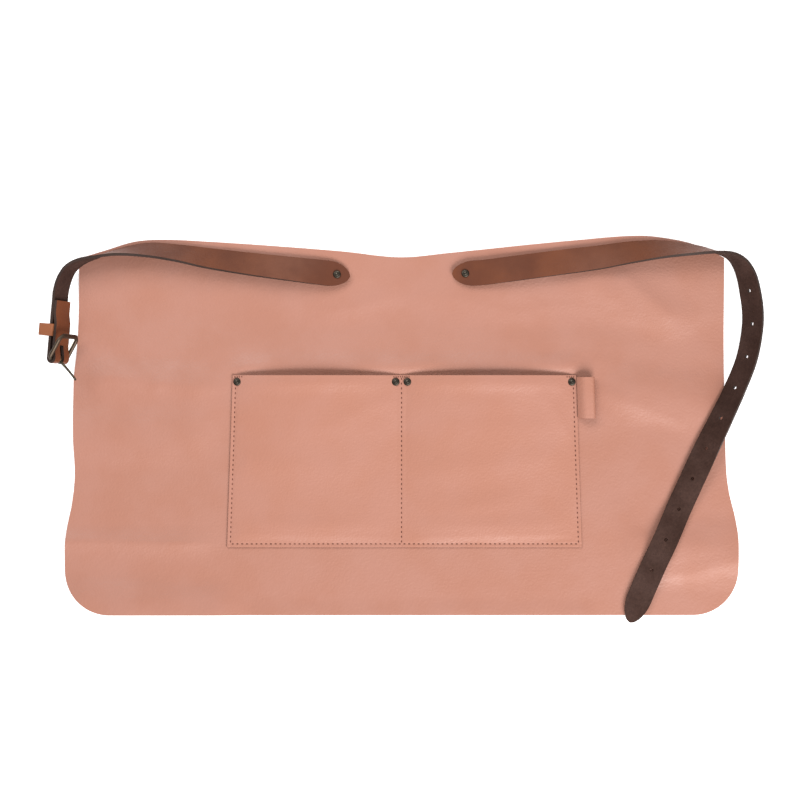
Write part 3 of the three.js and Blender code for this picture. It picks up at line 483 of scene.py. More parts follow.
THREAD = leather("waxed_thread", (0.13, 0.042, 0.027), (0.09, 0.03, 0.02), BROWN_MARK, 0.6, 0.3, gloss=0.25)

# %% [markdown]
# ## Antique brass
# Old brass is dark brown in its hollows and bright where hands and straps rub it. A noise decides how
# much of the metal shows through. On the frame an attribute also brightens the upper side of the left
# rail, and faintly the right one: a painted highlight, bright metal standing in for the light that it
# reflects. The frame, the prong and the rivets share the pattern with other amounts of rubbing.

# %% Patina group and the brasses
patina_group, entry, leave = new_group("brass_patina", [("Wear and Painted Highlight", 0.5)], ["Bare Metal and Highlight", "Height"])
where = add_node(patina_group, "ShaderNodeTexCoord")
cloud = add_node(patina_group, "ShaderNodeTexNoise", {"Scale": 260.0, "Detail": 4.0, "Roughness": 0.65})
scratch = add_node(patina_group, "ShaderNodeTexNoise", {"Scale": 900.0, "Detail": 2.0})
balance = add_node(patina_group, "ShaderNodeMath", operation="ADD")
bare_and_highlight = contrast(patina_group, 0.8, 1.2)
wire(
    patina_group, (where, "Object", cloud, "Vector"), (where, "Object", scratch, "Vector"),
    (cloud, "Fac", balance, 0), (entry, "Wear and Painted Highlight", balance, 1), (balance, 0, bare_and_highlight, "Value"),
    (bare_and_highlight, "Result", leave, "Bare Metal and Highlight"), (scratch, "Fac", leave, "Height"),
)


def brass(name, bright, dark, wear_and_painted_highlight, rough, rail_highlight=0.0):
    finish, metal = new_material(name)
    tree = finish.node_tree
    metal.inputs["Metallic"].default_value = 1.0
    patina = add_node(tree, "ShaderNodeGroup", node_tree=patina_group)
    # The attribute read here is the painted highlight on the frame's rail, weighted by its own strength.
    rail_highlight_attribute = add_node(tree, "ShaderNodeAttribute", attribute_name="wear_and_painted_highlight")
    wear_plus_highlight = add_node(tree, "ShaderNodeMath", {1: rail_highlight, 2: wear_and_painted_highlight}, operation="MULTIPLY_ADD")
    tone = add_node(tree, "ShaderNodeMix", {6: (*dark, 1), 7: (*bright, 1)}, data_type="RGBA")
    roughness = add_node(tree, "ShaderNodeMapRange", {"To Min": rough + 0.15, "To Max": rough})
    bump = add_node(tree, "ShaderNodeBump", {"Strength": 0.25, "Distance": 0.0002})
    wire(
        tree, (rail_highlight_attribute, "Fac", wear_plus_highlight, 0), (wear_plus_highlight, 0, patina, "Wear and Painted Highlight"), (patina, "Bare Metal and Highlight", tone, 0),
        (tone, 2, metal, "Base Color"), (patina, "Bare Metal and Highlight", roughness, "Value"),
        (roughness, "Result", metal, "Roughness"), (patina, "Height", bump, "Height"),
        (bump, "Normal", metal, "Normal"),
    )
    return finish


# The frame's bright tone shows mostly as a painted highlight on the upper side of its left rail.
FRAME_BRASS_AND_HIGHLIGHT = brass("buckle_brass", (0.95, 0.84, 0.55), (0.075, 0.055, 0.04), 0.08, 0.32, rail_highlight=0.95)
PRONG_BRASS = brass("prong_brass", (0.3, 0.24, 0.14), (0.06, 0.05, 0.035), 0.3, 0.4)
RIVET_BRASS = brass("rivet_brass", (0.3, 0.26, 0.19), (0.045, 0.038, 0.03), 0.25, 0.28)

# %% [markdown]
# ## The strap routes
# Each strap is a flat band that twists. Its route is a smooth curve through a few places, and at each
# place the table says how far the band has rolled over. The band then rests on whatever is under it,
# so its height comes from the panel and the floor, and not from the table.

# %% Routes: across, up, roll, raise
BUCKLE_ROUTE = [
    (-0.08, 0.9468, 0, 0), (-0.1, 0.953, 0, 0), (-0.158, 0.965, 16, 0), (-0.228, 0.98, 27, 0),
    (-0.298, 0.997, 38, 0), (-0.345, 1.011, 49, 0), (-0.391, 1.02, 57, 0), (-0.438, 1.014, 76, 0),
    (-0.472, 1.0, 88, 0), (-0.494, 0.988, 97, 0.1), (-0.51, 0.968, 106, 0.3),
    (-0.5192, 0.938, 112, 0.6), (-0.524, 0.905, 114, 0.9), (-0.5254, 0.879, 114, 1),
]
PUNCHED_ROUTE = [
    (0.0785, 0.955, 0, 0), (0.122, 0.958, 0, 0), (0.169, 0.968, 6, 0), (0.215, 0.979, 10, 0),
    (0.262, 0.99, 14, 0), (0.309, 1.001, 22, 0), (0.355, 1.014, 32, 0), (0.402, 1.022, 47, 0),
    (0.449, 1.021, 66, 0), (0.483, 1.015, 84, 0), (0.508, 1.003, 100, 0), (0.523, 0.98, 117, 0),
    (0.533, 0.947, 128, 0), (0.539, 0.905, 133, 0), (0.543, 0.86, 134, 0), (0.5433, 0.8106, 134, 0),
    (0.5345, 0.721, 134, 0), (0.5157, 0.634, 136, 0), (0.4946, 0.555, 143, 0), (0.473, 0.47, 157, 0),
    (0.4523, 0.3866, 171, 0), (0.4311, 0.3017, 180, 0), (0.4101, 0.2151, 180, 0),
    (0.388, 0.1289, 180, 0), (0.3538, -0.0196, 180, 0),
]
STRAP_WIDTH, STRAP_THICKNESS, TIP_LENGTH, FREE_TIP_LENGTH = 26, 3, 23, 28
RIVET_FROM_TIP, FOLD_LENGTH, WIRE_RADIUS, KEEPER_THICKNESS = 13.5, 60, 2, 1.8
HALF_STRAP = STRAP_WIDTH / 2


# %% Walking along a route
def spline_point(points, segment, t):
    start, end = points[segment], points[segment + 1]
    before = points[segment - 1] if segment else 2 * start - end
    after = points[segment + 2] if segment + 2 < len(points) else 2 * end - start
    first, middle, last = ((b - a).length ** 0.5 for a, b in ((before, start), (start, end), (end, after)))
    pull = (start - before) / first - (end - before) / (first + middle) + (end - start) / middle
    push = (end - start) / middle - (after - start) / (middle + last) + (after - end) / last
    pull, push = pull * middle, push * middle
    curve = t**3 * (2 * start - 2 * end + pull + push) + t**2 * (3 * end - 3 * start - 2 * pull - push)
    return curve + t * pull + start


def walk(route, pieces=24):
    points = [Vector((row[0] * WAIST_WIDTH, row[1] * PANEL_HEIGHT, 0)) for row in route]
    spans = len(points) - 1
    rows = [(k / spans, *row) for k, row in enumerate(route)]
    steps, length = [], 0.0
    for k in range(spans * pieces + 1):
        segment = min(k // pieces, spans - 1)
        point = spline_point(points, segment, k / pieces - segment)
        if steps:
            length += (point - steps[-1][1]).length
        share = k / (spans * pieces)
        steps.append((length, point, read_table(rows, share, 3), read_table(rows, share, 4)))
    return steps


def step_at(steps, length):
    k = 0
    while k < len(steps) - 2 and steps[k + 1][0] < length:
        k += 1
    here, ahead = steps[k], steps[k + 1]
    share = clamp((length - here[0]) / (ahead[0] - here[0]))
    return [mix(here[c], ahead[c], share) for c in (1, 2, 3)]


buckle_steps, punched_steps = walk(BUCKLE_ROUTE), walk(PUNCHED_ROUTE)
BUCKLE_END, PUNCHED_END = buckle_steps[-1][0], punched_steps[-1][0]
BELT_RIVETS["belt_rivet_left"] = step_at(buckle_steps, RIVET_FROM_TIP)[0]
BELT_RIVETS["belt_rivet_right"] = step_at(punched_steps, RIVET_FROM_TIP)[0]
print(f"straps: {BUCKLE_END + 2 * FOLD_LENGTH:.0f} mm with its fold, and {PUNCHED_END:.0f} mm")


# %% Resting a strap on what is under it
def support_height(x, y):
    side = side_x(-1 if x < 0 else 1, y)
    away = math.hypot(max(0.0, abs(x) - abs(side)), max(0.0, y - waist_y(x), -y))
    if away >= STRAP_WIDTH:
        return 0.0
    return panel_top(x, y) * (1 - smooth(STRAP_WIDTH / 4, STRAP_WIDTH, away))


def station(steps, side, length, raised):
    ahead, behind = step_at(steps, length + 1)[0], step_at(steps, length - 1)[0]
    place, roll, raise_share = step_at(steps, length)
    along = (ahead - behind).normalized()
    angle = math.radians(roll)
    across = Vector((-along.y, along.x, 0)) * side * math.cos(angle) + Vector((0, 0, math.sin(angle)))
    out = along.cross(across) * side
    height = 0
    for part in (-1, -0.5, 0, 0.5, 1):
        reach = part * HALF_STRAP
        below = across.z * reach - STRAP_THICKNESS / 2 * abs(out.z)
        under = support_height(place.x + across.x * reach, place.y + across.y * reach)
        height = max(height, under + LEATHER_GAP - below)
    return Vector((place.x, place.y, height + raised * raise_share)), across, out, along


# %% How high the buckle's own size holds the strap's end
FRAME_SIDE_GAP, RAIL_WIDTH = 0.8, 5
BUCKLE_HALF = HALF_STRAP + FRAME_SIDE_GAP + RAIL_WIDTH
FOLD_RADIUS = WIRE_RADIUS + GAP + STRAP_THICKNESS / 2
KEEPER_REACH, KEEPER_WIDTH, KEEPER_FROM_BAR = 10.5, 12.5, 29
lean = math.radians(BUCKLE_ROUTE[-1][2])
keeper_half = HALF_STRAP + GAP + KEEPER_THICKNESS
keeper_out = STRAP_THICKNESS / 2 + KEEPER_REACH + KEEPER_THICKNESS
strap_drop = HALF_STRAP * math.sin(lean) - STRAP_THICKNESS / 2 * math.cos(lean)
keeper_drop = keeper_half * math.sin(lean) - keeper_out * math.cos(lean)
BUCKLE_RAISE = max(BUCKLE_HALF * math.sin(lean), keeper_drop) - strap_drop


def stations_along(steps, side, end, raised, spacing=4.0):
    count = round(end / spacing)
    return [station(steps, side, end * k / count, raised) for k in range(count + 1)], end / count


def between(stations, spacing, length):
    k = min(len(stations) - 2, max(0, int(length / spacing)))
    share = clamp(length / spacing - k)
    centre, across, out, along = (a.lerp(b, share) for a, b in zip(stations[k], stations[k + 1]))
    return centre, across.normalized(), out.normalized(), along.normalized()


buckle_stations, buckle_spacing = stations_along(buckle_steps, 1, BUCKLE_END, BUCKLE_RAISE)
punched_stations, punched_spacing = stations_along(punched_steps, -1, PUNCHED_END, 0)
print(f"the buckle's end is held {BUCKLE_RAISE:.1f} mm higher")

# %% [markdown]
# ## The panel
# A grid is stretched to the outline and given the height of the folds and creases. Solidify makes the
# leather's thickness downwards from that surface, and a small bevel eases the cut edge. The grid's
# rows are crowded near the edges, where the outline turns most.

# %% A grid stretched over the panel
def graded(share, crowding):
    return share - crowding * math.sin(2 * math.pi * share) / (2 * math.pi)


panel_shape = bmesh.new()
bmesh.ops.create_grid(panel_shape, x_segments=230, y_segments=150, size=0.5)
for point in panel_shape.verts:
    x, y = panel_place(graded(point.co.x + 0.5, 0.3), graded(0.5 - point.co.y, 0.3))
    point.co = at(x, y, fine_lift(x, y) + PANEL_THICKNESS)
panel = finish_piece("panel", panel_shape, [PANEL_LEATHER, PANEL_EDGE], nodes=["apron_panel"])
give_thickness(panel, PANEL_THICKNESS, -1, 0.35)

# %% [markdown]
# ## The patch pocket
# The pocket is sewn down its sides, along its base and down the middle, so each half swells between
# its seams and gapes at the mouth. Its grid is crowded near the seams, because the thread pulls a
# narrow groove into the leather there.

# %% Swell of the pocket from mouth to base
POCKET_SWELL = [
    (0.0, 1.0), (0.05, 0.97), (0.12, 0.74), (0.22, 0.66), (0.33, 0.68), (0.5, 0.45), (0.68, 0.26),
    (0.82, 0.26), (0.91, 0.3), (1.0, 0.0),
]
STITCH_INSET, GROOVE, GROOVE_HALF_WIDTH = 3.6, 0.26, 1.1
POCKET_CREASES = [
    (-165, 238, -45, 243, 8, 0.4), (20, 242, 160, 238, 8, 0.4), (-170, 84, -14, 80, 4, 0.3),
    (14, 80, 172, 84, 4, 0.3), (-160, 160, -60, 150, 13, 0.5), (40, 150, 150, 165, 14, 0.5),
    (150, 225, 172, 190, 8, 0.7), (-60, 205, -16, 222, 9, 0.5), (60, 110, 120, 122, 10, 0.4),
]


def pocket_swell(x, y):
    low, high = (pocket_side(-1, y), DIVIDER_X) if x < DIVIDER_X else (DIVIDER_X, pocket_side(1, y))
    along = clamp((x - low - SEAM) / (high - low - 2 * SEAM))
    down = clamp((POCKET_TOP - y) / (POCKET_HEIGHT - SEAM))
    bulge = math.sin(math.pi * along) ** 0.75
    small = 0.35 * noise.noise(Vector((x / 48, y / 26, 9.3)))
    for x0, y0, x1, y1, spread, rise in POCKET_CREASES:
        small += rise * math.exp(-((ridge_distance(x, y, x0, y0, x1, y1) / spread) ** 2))
    return max(0.0, MOUTH_RISE * bulge * read_table(POCKET_SWELL, down) + small * min(1.0, 3 * bulge))


def stitch_distance(x, y):
    sides = min(abs(x - pocket_side(-1, y) - STITCH_INSET), abs(pocket_side(1, y) - STITCH_INSET - x))
    return min(sides, abs(x - DIVIDER_X), abs(y - POCKET_FOOT - STITCH_INSET))


def pocket_top(x, y):
    groove = GROOVE * math.exp(-((stitch_distance(x, y) / GROOVE_HALF_WIDTH) ** 2))
    return panel_top(x, y) + GAP + pocket_swell(x, y) + POCKET_THICKNESS - groove


# %% A grid over the pocket, crowded at its seams
pocket_shape = bmesh.new()
bmesh.ops.create_grid(pocket_shape, x_segments=160, y_segments=90, size=0.5)
for point in pocket_shape.verts:
    across, down = point.co.x + 0.5, graded(0.5 - point.co.y, 0.7)
    y = POCKET_TOP - down * POCKET_HEIGHT
    if across < 0.5:
        x = mix(pocket_side(-1, y), DIVIDER_X, graded(2 * across, 0.75))
    else:
        x = mix(DIVIDER_X, pocket_side(1, y), graded(2 * across - 1, 0.75))
    point.co = at(x, y, pocket_top(x, y))
# The second finish goes on the cut edges and paints shade along them.
pocket_finishes = [POCKET_LEATHER, POCKET_EDGE_AND_SHADE]
pocket = finish_piece("pocket", pocket_shape, pocket_finishes, nodes=["pocket_panel"])
give_thickness(pocket, POCKET_THICKNESS, -1, 0.5)

# %% [markdown]
# ## The side loop
# The loop is one strip folded back on itself, with both ends caught in the pocket's side seam. Its
# grid is laid flat first and then bent round the profile, by the distance along the strip.

# %% The strip's path, and the folded grid
LOOP_BEND = LOOP_REACH - LOOP_INSIDE / 2 - LOOP_THICKNESS
LOOP_RADIUS = (LOOP_INSIDE + LOOP_THICKNESS) / 2
LOOP_FLAT = LOOP_BEND - GAP
LOOP_STRIP = 2 * LOOP_FLAT + math.pi * LOOP_RADIUS


def loop_profile(length):
    middle = LOOP_RADIUS + LOOP_THICKNESS / 2
    if length < LOOP_FLAT:
        return GAP + length, LOOP_THICKNESS / 2
    if length < LOOP_FLAT + math.pi * LOOP_RADIUS:
        angle = (length - LOOP_FLAT) / LOOP_RADIUS - math.pi / 2
        return LOOP_BEND + LOOP_RADIUS * math.cos(angle), middle + LOOP_RADIUS * math.sin(angle)
    share = max(0.0, (LOOP_STRIP - length) / LOOP_FLAT)
    low = 1.5 * LOOP_THICKNESS + GAP
    rise = math.sin(math.pi / 2 * min(1, share * 1.5))
    return GAP + share * LOOP_FLAT, low + (middle + LOOP_RADIUS - low) * rise


loop_shape = bmesh.new()
bmesh.ops.create_grid(loop_shape, x_segments=48, y_segments=20, size=0.5)
for point in loop_shape.verts:
    reach, height = loop_profile((0.5 - point.co.x) * LOOP_STRIP)
    y = POCKET_TOP - LOOP_BELOW - (0.5 - point.co.y) * LOOP_HEIGHT
    x = pocket_side(1, y) + reach
    point.co = at(x, y, panel_top(x, y) + LEATHER_GAP + height)
side_loop = finish_piece("loop", loop_shape, pocket_finishes, nodes=["side_loop"])
give_thickness(side_loop, LOOP_THICKNESS, 0, 0.3)

# %% [markdown]
# ## The straps
# A strap starts as a flat grid: its length along X and its width along Y. While it is flat the tips
# are cut to their curve and the holes are punched, which is as easy as on a workbench. Then every
# point is carried to the strap's route and turned with it.

# %% A flat band, its tips and its holes
TIP_END, TIP_BLUNTNESS = 0.06, 0.62


def flat_band(length, spacing=1.5, across=16):
    band = bmesh.new()
    place = Matrix.Translation((length / 2, 0, 0)) @ Matrix.Diagonal((length, STRAP_WIDTH, 1, 1))
    bmesh.ops.create_grid(band, x_segments=round(length / spacing), y_segments=across, size=0.5, matrix=place)
    return band


def cut_tip(band, tip_at, direction, tip_length):
    for point in band.verts:
        to_full = 1 - clamp((point.co.x - tip_at) * direction / tip_length)
        point.co.y *= mix(TIP_END, 1, (1 - to_full**2) ** TIP_BLUNTNESS)


def punch_hole(band, length, radius):
    centre = Vector((length, 0, 0))
    near = [f for f in band.faces if max(map(abs, f.calc_center_median() - centre)) < 3.1]
    patch = bmesh.ops.dissolve_faces(band, faces=near, use_verts=True)["region"]
    bmesh.ops.inset_individual(band, faces=patch, thickness=0.5)
    for point in patch[0].verts:
        point.co = centre + (point.co - centre).normalized() * radius
    bmesh.ops.delete(band, geom=patch, context="FACES")


# %% [markdown]
# ### The punched strap
# Ten holes run up from the free tip. The band is turned over along most of its length, so the rough
# inner side is what is seen, and the polished outer side shows only near the rivet.

# %% Punching, then laying the strap along its route
HOLE_PITCH, FIRST_HOLE, HOLE_COUNT, HOLE_RADIUS = 34.6, 59, 10, 1.9


def lay_band(band, place_at, side):
    for point in band.verts:
        centre, across = place_at(point.co.x)[:2]
        point.co = at(*(centre + across * point.co.y * side))


punched_band = flat_band(PUNCHED_END)
for k in range(HOLE_COUNT):
    punch_hole(punched_band, PUNCHED_END - FIRST_HOLE - k * HOLE_PITCH, HOLE_RADIUS)
cut_tip(punched_band, 0, 1, TIP_LENGTH)
cut_tip(punched_band, PUNCHED_END, -1, FREE_TIP_LENGTH)
lay_band(punched_band, lambda length: between(punched_stations, punched_spacing, length), -1)
STRAP_SIDES = [STRAP_GRAIN, STRAP_FLESH, STRAP_EDGE]
punched_strap = finish_piece("holed_strap", punched_band, STRAP_SIDES, nodes=["punched_strap"])
give_thickness(punched_strap, STRAP_THICKNESS, 0, 0.6, sides=1)

# %% [markdown]
# ### The buckle strap
# This band leaves its rivet, twists, runs straight to the buckle's bar, turns round it and lies back
# against itself. The bar lies exactly on the hinge, so that it clears the leather as it turns. A slot
# lets the prong swing, so it is cut through both layers at the bar.

# %% The bar, and places measured back from it
straight_centre, STRAP_ACROSS, STRAP_OUT, STRAP_ALONG = buckle_stations[-1]
hinge = Vector(frame["record"]["behaviour"]["joints"][0]["pos_m"])
BAR = (hinge - Vector((MIDDLE, HEM, 0))) / MM
BAR_SHIFT = BAR - straight_centre - STRAP_ALONG * FOLD_LENGTH + STRAP_OUT * FOLD_RADIUS


def near_bar(back, out):
    return BAR - STRAP_ALONG * back + STRAP_OUT * out


def fold_apart(back):
    at_keeper = STRAP_THICKNESS + KEEPER_THICKNESS + 2 * GAP
    past = KEEPER_FROM_BAR + KEEPER_WIDTH
    open_part = mix(2 * FOLD_RADIUS, at_keeper, smooth(0, KEEPER_FROM_BAR / 2, back))
    closing = smooth(past - KEEPER_WIDTH / 2, past + KEEPER_WIDTH / 2, back)
    return mix(open_part, STRAP_THICKNESS + GAP, closing)


TURN = math.pi * FOLD_RADIUS


def buckle_place(length):
    past = length - BUCKLE_END
    if past <= 0:
        centre, across = between(buckle_stations, buckle_spacing, length)[:2]
        return centre + BAR_SHIFT * smooth(-FOLD_LENGTH, 0, past), across
    if past <= FOLD_LENGTH:
        return near_bar(FOLD_LENGTH - past, FOLD_RADIUS), STRAP_ACROSS
    if past <= FOLD_LENGTH + TURN:
        angle = math.pi / 2 - (past - FOLD_LENGTH) / FOLD_RADIUS
        out = STRAP_ALONG * math.cos(angle) + STRAP_OUT * math.sin(angle)
        return BAR + out * FOLD_RADIUS, STRAP_ACROSS
    back = past - FOLD_LENGTH - TURN
    return near_bar(back, FOLD_RADIUS - fold_apart(back)), STRAP_ACROSS


print(f"bar on the hinge, {BAR_SHIFT.length:.2f} mm from the strap's own end")

# %% Cutting the slot, then laying the strap
SLOT_HALF, SLOT_LENGTH = 3.5, 14
band_length = BUCKLE_END + 2 * FOLD_LENGTH + TURN - GAP
slot_from = BUCKLE_END + FOLD_LENGTH - SLOT_LENGTH
slot_to = BUCKLE_END + FOLD_LENGTH + TURN + SLOT_LENGTH


def cut_line(band, place, normal):
    everything = [*band.verts, *band.edges, *band.faces]
    bmesh.ops.bisect_plane(band, geom=everything, plane_co=place, plane_no=normal)


buckle_band = flat_band(band_length)
for x in (slot_from, slot_to):
    cut_line(buckle_band, (x, 0, 0), (1, 0, 0))
for y in (SLOT_HALF, -SLOT_HALF):
    cut_line(buckle_band, (0, y, 0), (0, 1, 0))
inside = [
    f for f in buckle_band.faces
    if slot_from < f.calc_center_median().x < slot_to and abs(f.calc_center_median().y) < SLOT_HALF
]
bmesh.ops.delete(buckle_band, geom=inside, context="FACES")
cut_tip(buckle_band, 0, 1, TIP_LENGTH)
lay_band(buckle_band, buckle_place, 1)
buckle_strap = finish_piece("folded_strap", buckle_band, STRAP_SIDES, nodes=["buckle_strap"])
give_thickness(buckle_strap, STRAP_THICKNESS, 0, 0.6, sides=1)

# %% [markdown]
# ## The keeper
# The keeper is a narrow band of leather round the strap, which stands out and holds the other strap's
# free end. A rectangle is drawn round the strap, its corners are bevelled, and an inset gives the
# wall. The middle comes out and the wall is extruded along the strap.

# %% Helpers for the points of a shape
def points_of(parts):
    return [part for part in parts if isinstance(part, bmesh.types.BMVert)]


def carry(shape, origin, axes):
    for point in shape.verts:
        point.co = at(*(origin + axes @ point.co))


# %% Rectangle, rounded corners, wall and width
KEEPER_CORNER = 2.2
keeper_axes = Matrix((-STRAP_ACROSS, STRAP_OUT, -STRAP_ALONG)).transposed().to_4x4()
low_edge = -STRAP_THICKNESS / 2 - GAP - KEEPER_THICKNESS
keeper_shape = bmesh.new()
outline = Matrix.Translation((0, (low_edge + keeper_out) / 2, 0))
outline = outline @ Matrix.Diagonal((2 * keeper_half, keeper_out - low_edge, 1, 1))
bmesh.ops.create_grid(keeper_shape, x_segments=1, y_segments=1, size=0.5, matrix=outline)
bmesh.ops.bevel(
    keeper_shape, geom=keeper_shape.verts[:], offset=KEEPER_CORNER, segments=5, profile=0.5,
    affect="VERTICES", material=-1,
)
bmesh.ops.inset_individual(keeper_shape, faces=keeper_shape.faces[:], thickness=KEEPER_THICKNESS)
centre_face = max(keeper_shape.faces, key=lambda face: len(face.verts))
bmesh.ops.delete(keeper_shape, geom=[centre_face], context="FACES")
walls = bmesh.ops.extrude_face_region(keeper_shape, geom=keeper_shape.faces[:], use_keep_orig=True)
bmesh.ops.translate(keeper_shape, verts=points_of(walls["geom"]), vec=(0, 0, KEEPER_WIDTH))
bmesh.ops.recalc_face_normals(keeper_shape, faces=keeper_shape.faces[:])
carry(keeper_shape, near_bar(KEEPER_FROM_BAR - KEEPER_WIDTH / 2, FOLD_RADIUS), keeper_axes)
keeper = finish_piece("keeper", keeper_shape, [KEEPER_LEATHER], nodes=["keeper_loop"])
ease_edges(keeper, 0.45, segments=3)

# %% [markdown]
# ## The buckle
# The frame is one wire bent round four corners. A small circle is swept: straight parts are extruded
# and each corner is a quarter turn of the spin operator, and the last ring meets the first. The two
# corners beside the bar are tight and the two at the front are rounder.

# %% Sweeping a ring round the frame's path
FRAME_LENGTH, FRAME_TURN, FRONT_CORNER = 30, 154, 5
PRONG_LENGTH, PRONG_TURN, PRONG_RADIUS, PRONG_TIP_RADIUS = 31, 52, 1.4, 1.1


def turned(degrees):
    angle = math.radians(degrees)
    forward = STRAP_ALONG * math.cos(angle) - STRAP_OUT * math.sin(angle)
    return Matrix((STRAP_ACROSS, forward, STRAP_ACROSS.cross(forward))).transposed().to_4x4()


def ring_geometry(shape, ring):
    return [edge for edge in shape.edges if edge.verts[0] in ring and edge.verts[1] in ring]


def go_straight(shape, ring, move):
    made = bmesh.ops.extrude_edge_only(shape, edges=ring_geometry(shape, ring))["geom"]
    ring = set(points_of(made))
    bmesh.ops.translate(shape, verts=list(ring), vec=move)
    return ring


def go_round(shape, ring, centre, steps=6):
    geometry = [*ring, *ring_geometry(shape, ring)]
    turn = {"cent": centre, "axis": (0, 0, 1), "angle": math.pi / 2, "steps": steps}
    last = bmesh.ops.spin(shape, geom=geometry, **turn)["geom_last"]
    return set(points_of(last))


# %% The frame
frame_half = HALF_STRAP + FRAME_SIDE_GAP + WIRE_RADIUS
front = FRAME_LENGTH - 2 * WIRE_RADIUS
bar_corner = FRAME_SIDE_GAP + WIRE_RADIUS
frame_shape = bmesh.new()
upright = Matrix.Translation((frame_half, bar_corner, 0)) @ Matrix.Rotation(math.pi / 2, 4, "X")
first_ring = bmesh.ops.create_circle(frame_shape, segments=16, radius=WIRE_RADIUS, matrix=upright)["verts"]
ring = set(first_ring)
front_x, front_y, bar_x = frame_half - FRONT_CORNER, front - FRONT_CORNER, frame_half - bar_corner
for move, corner in (
    ((0, front_y - bar_corner, 0), (front_x, front_y, 0)), ((-2 * front_x, 0, 0), (-front_x, front_y, 0)),
    ((0, bar_corner - front_y, 0), (-bar_x, bar_corner, 0)), ((2 * bar_x, 0, 0), (bar_x, bar_corner, 0)),
):
    ring = go_round(frame_shape, go_straight(frame_shape, ring, move), corner)
bmesh.ops.remove_doubles(frame_shape, verts=frame_shape.verts[:], dist=0.01)
bmesh.ops.recalc_face_normals(frame_shape, faces=frame_shape.faces[:])
rail_growth = (RAIL_WIDTH - WIRE_RADIUS) / WIRE_RADIUS - 1
for point in frame_shape.verts:
    beyond_side = abs(point.co.x) - frame_half
    if beyond_side > 0:
        past_bar = smooth(0, bar_corner, point.co.y)
        point.co.x += math.copysign(beyond_side * rail_growth * past_bar, point.co.x)
    point.co.y += max(0.0, point.co.y - front) * rail_growth
# Painted highlight: the upper side of the left rail, and faintly that of the right rail, is marked to show
# bright metal in place of the light it reflects.
rail_highlight_layer = frame_shape.verts.layers.float.new("wear_and_painted_highlight")
for point in frame_shape.verts:
    highlight_on_rail = smooth(bar_corner, 2 * bar_corner, point.co.y) * (1 - smooth(front - 4, front, point.co.y))
    point[rail_highlight_layer] = highlight_on_rail * smooth(0.2, 1.2, point.co.z) * (1 if point.co.x < 0 else 0.15)
carry(frame_shape, BAR, turned(FRAME_TURN))
finish_piece("frame", frame_shape, [FRAME_BRASS_AND_HIGHLIGHT], "buckle", nodes=["buckle_frame"])

# %% [markdown]
# ## The prong
# The prong is a tapered pin whose root is an eye round the bar. The eye is a small rounded section
# spun right round, and the pin is a cone whose rings bend down a little towards the tip.

# %% Eye and pin
def spin_round(shape, parts, axis, steps):
    turn = {"cent": (0, 0, 0), "axis": axis, "angle": 2 * math.pi, "steps": steps}
    bmesh.ops.spin(shape, geom=parts, use_merge=True, **turn)


LONG_EDGE = 10
eye_inner = WIRE_RADIUS + GAP
eye_wall, eye_half, eye_ease = 2, 1.8, 0.5
prong_shape = bmesh.new()
half_section = [(eye_half, 0.0), (eye_half, eye_wall - eye_ease), (eye_half - eye_ease, eye_wall)]
corners = half_section + [(-x, y) for x, y in reversed(half_section)]
ring_points = [prong_shape.verts.new((x, eye_inner + y, 0)) for x, y in corners]
ring_ends = zip(ring_points, ring_points[1:] + ring_points[:1])
ring_edges = [prong_shape.edges.new(pair) for pair in ring_ends]
spin_round(prong_shape, [*ring_points, *ring_edges], (1, 0, 0), 24)
root = eye_inner + eye_wall / 2
lying = Matrix.Translation((0, (root + PRONG_LENGTH) / 2, 0)) @ Matrix.Rotation(-math.pi / 2, 4, "X")
bmesh.ops.create_cone(
    prong_shape, cap_ends=True, segments=14, radius1=PRONG_RADIUS, radius2=PRONG_TIP_RADIUS,
    depth=PRONG_LENGTH - root, matrix=lying,
)
long_edges = [e for e in prong_shape.edges if e.calc_length() > LONG_EDGE]
bmesh.ops.subdivide_edges(prong_shape, edges=long_edges, cuts=10)
for point in prong_shape.verts:
    share = max(0.0, (point.co.y - root) / (PRONG_LENGTH - root))
    point.co.z -= PRONG_RADIUS * share**3
bmesh.ops.recalc_face_normals(prong_shape, faces=prong_shape.faces[:])
carry(prong_shape, BAR, turned(PRONG_TURN))
prong = finish_piece("prong_pin", prong_shape, [PRONG_BRASS], "prong", nodes=["buckle_prong"])
ease_edges(prong, 0.3)

# %% [markdown]
# ## The rivets
# A double-cap rivet is a turned thing: a domed cap with a small dimple from the setting tool, a post
# through the leather, and a flat back. Half of its outline is drawn once and spun round its axis.

# %% One outline, spun at every rivet
def rivet_outline(under_cap, over_back):
    back = over_back - BACK_THICKNESS
    dome = [(0.97, 0.16), (1.0, 0.34), (0.95, 0.58), (0.84, 0.8), (0.68, 0.95), (0.52, 1.0), (0.4, 0.94)]
    dimple = [(0.3, 0.78), (0.18, 0.66), (0.0, 0.62)]
    base = [(0, back), (CAP_RADIUS * 0.93, back), (CAP_RADIUS, over_back), (POST_RADIUS, over_back)]
    base += [(POST_RADIUS, under_cap), (CAP_RADIUS * 0.9, under_cap)]
    return base + [(CAP_RADIUS * wide, under_cap + CAP_HEIGHT * high) for wide, high in dome + dimple]


def make_rivet(node, x, y, top_of_leather):
    shape = bmesh.new()
    low_seat = panel_lift(x, y) + PRESS
    outline = rivet_outline(top_of_leather - PRESS + GAP, low_seat - GAP)
    points = [shape.verts.new((radius, 0, height)) for radius, height in outline]
    edges = [shape.edges.new(pair) for pair in zip(points, points[1:])]
    spin_round(shape, [*points, *edges], (0, 0, 1), 28)
    bmesh.ops.remove_doubles(shape, verts=shape.verts[:], dist=0.001)
    bmesh.ops.recalc_face_normals(shape, faces=shape.faces[:])
    for point in shape.verts:
        point.co = at(x + point.co.x, y + point.co.y, point.co.z)
    return finish_piece(node + "_cap", shape, [RIVET_BRASS], nodes=[node])


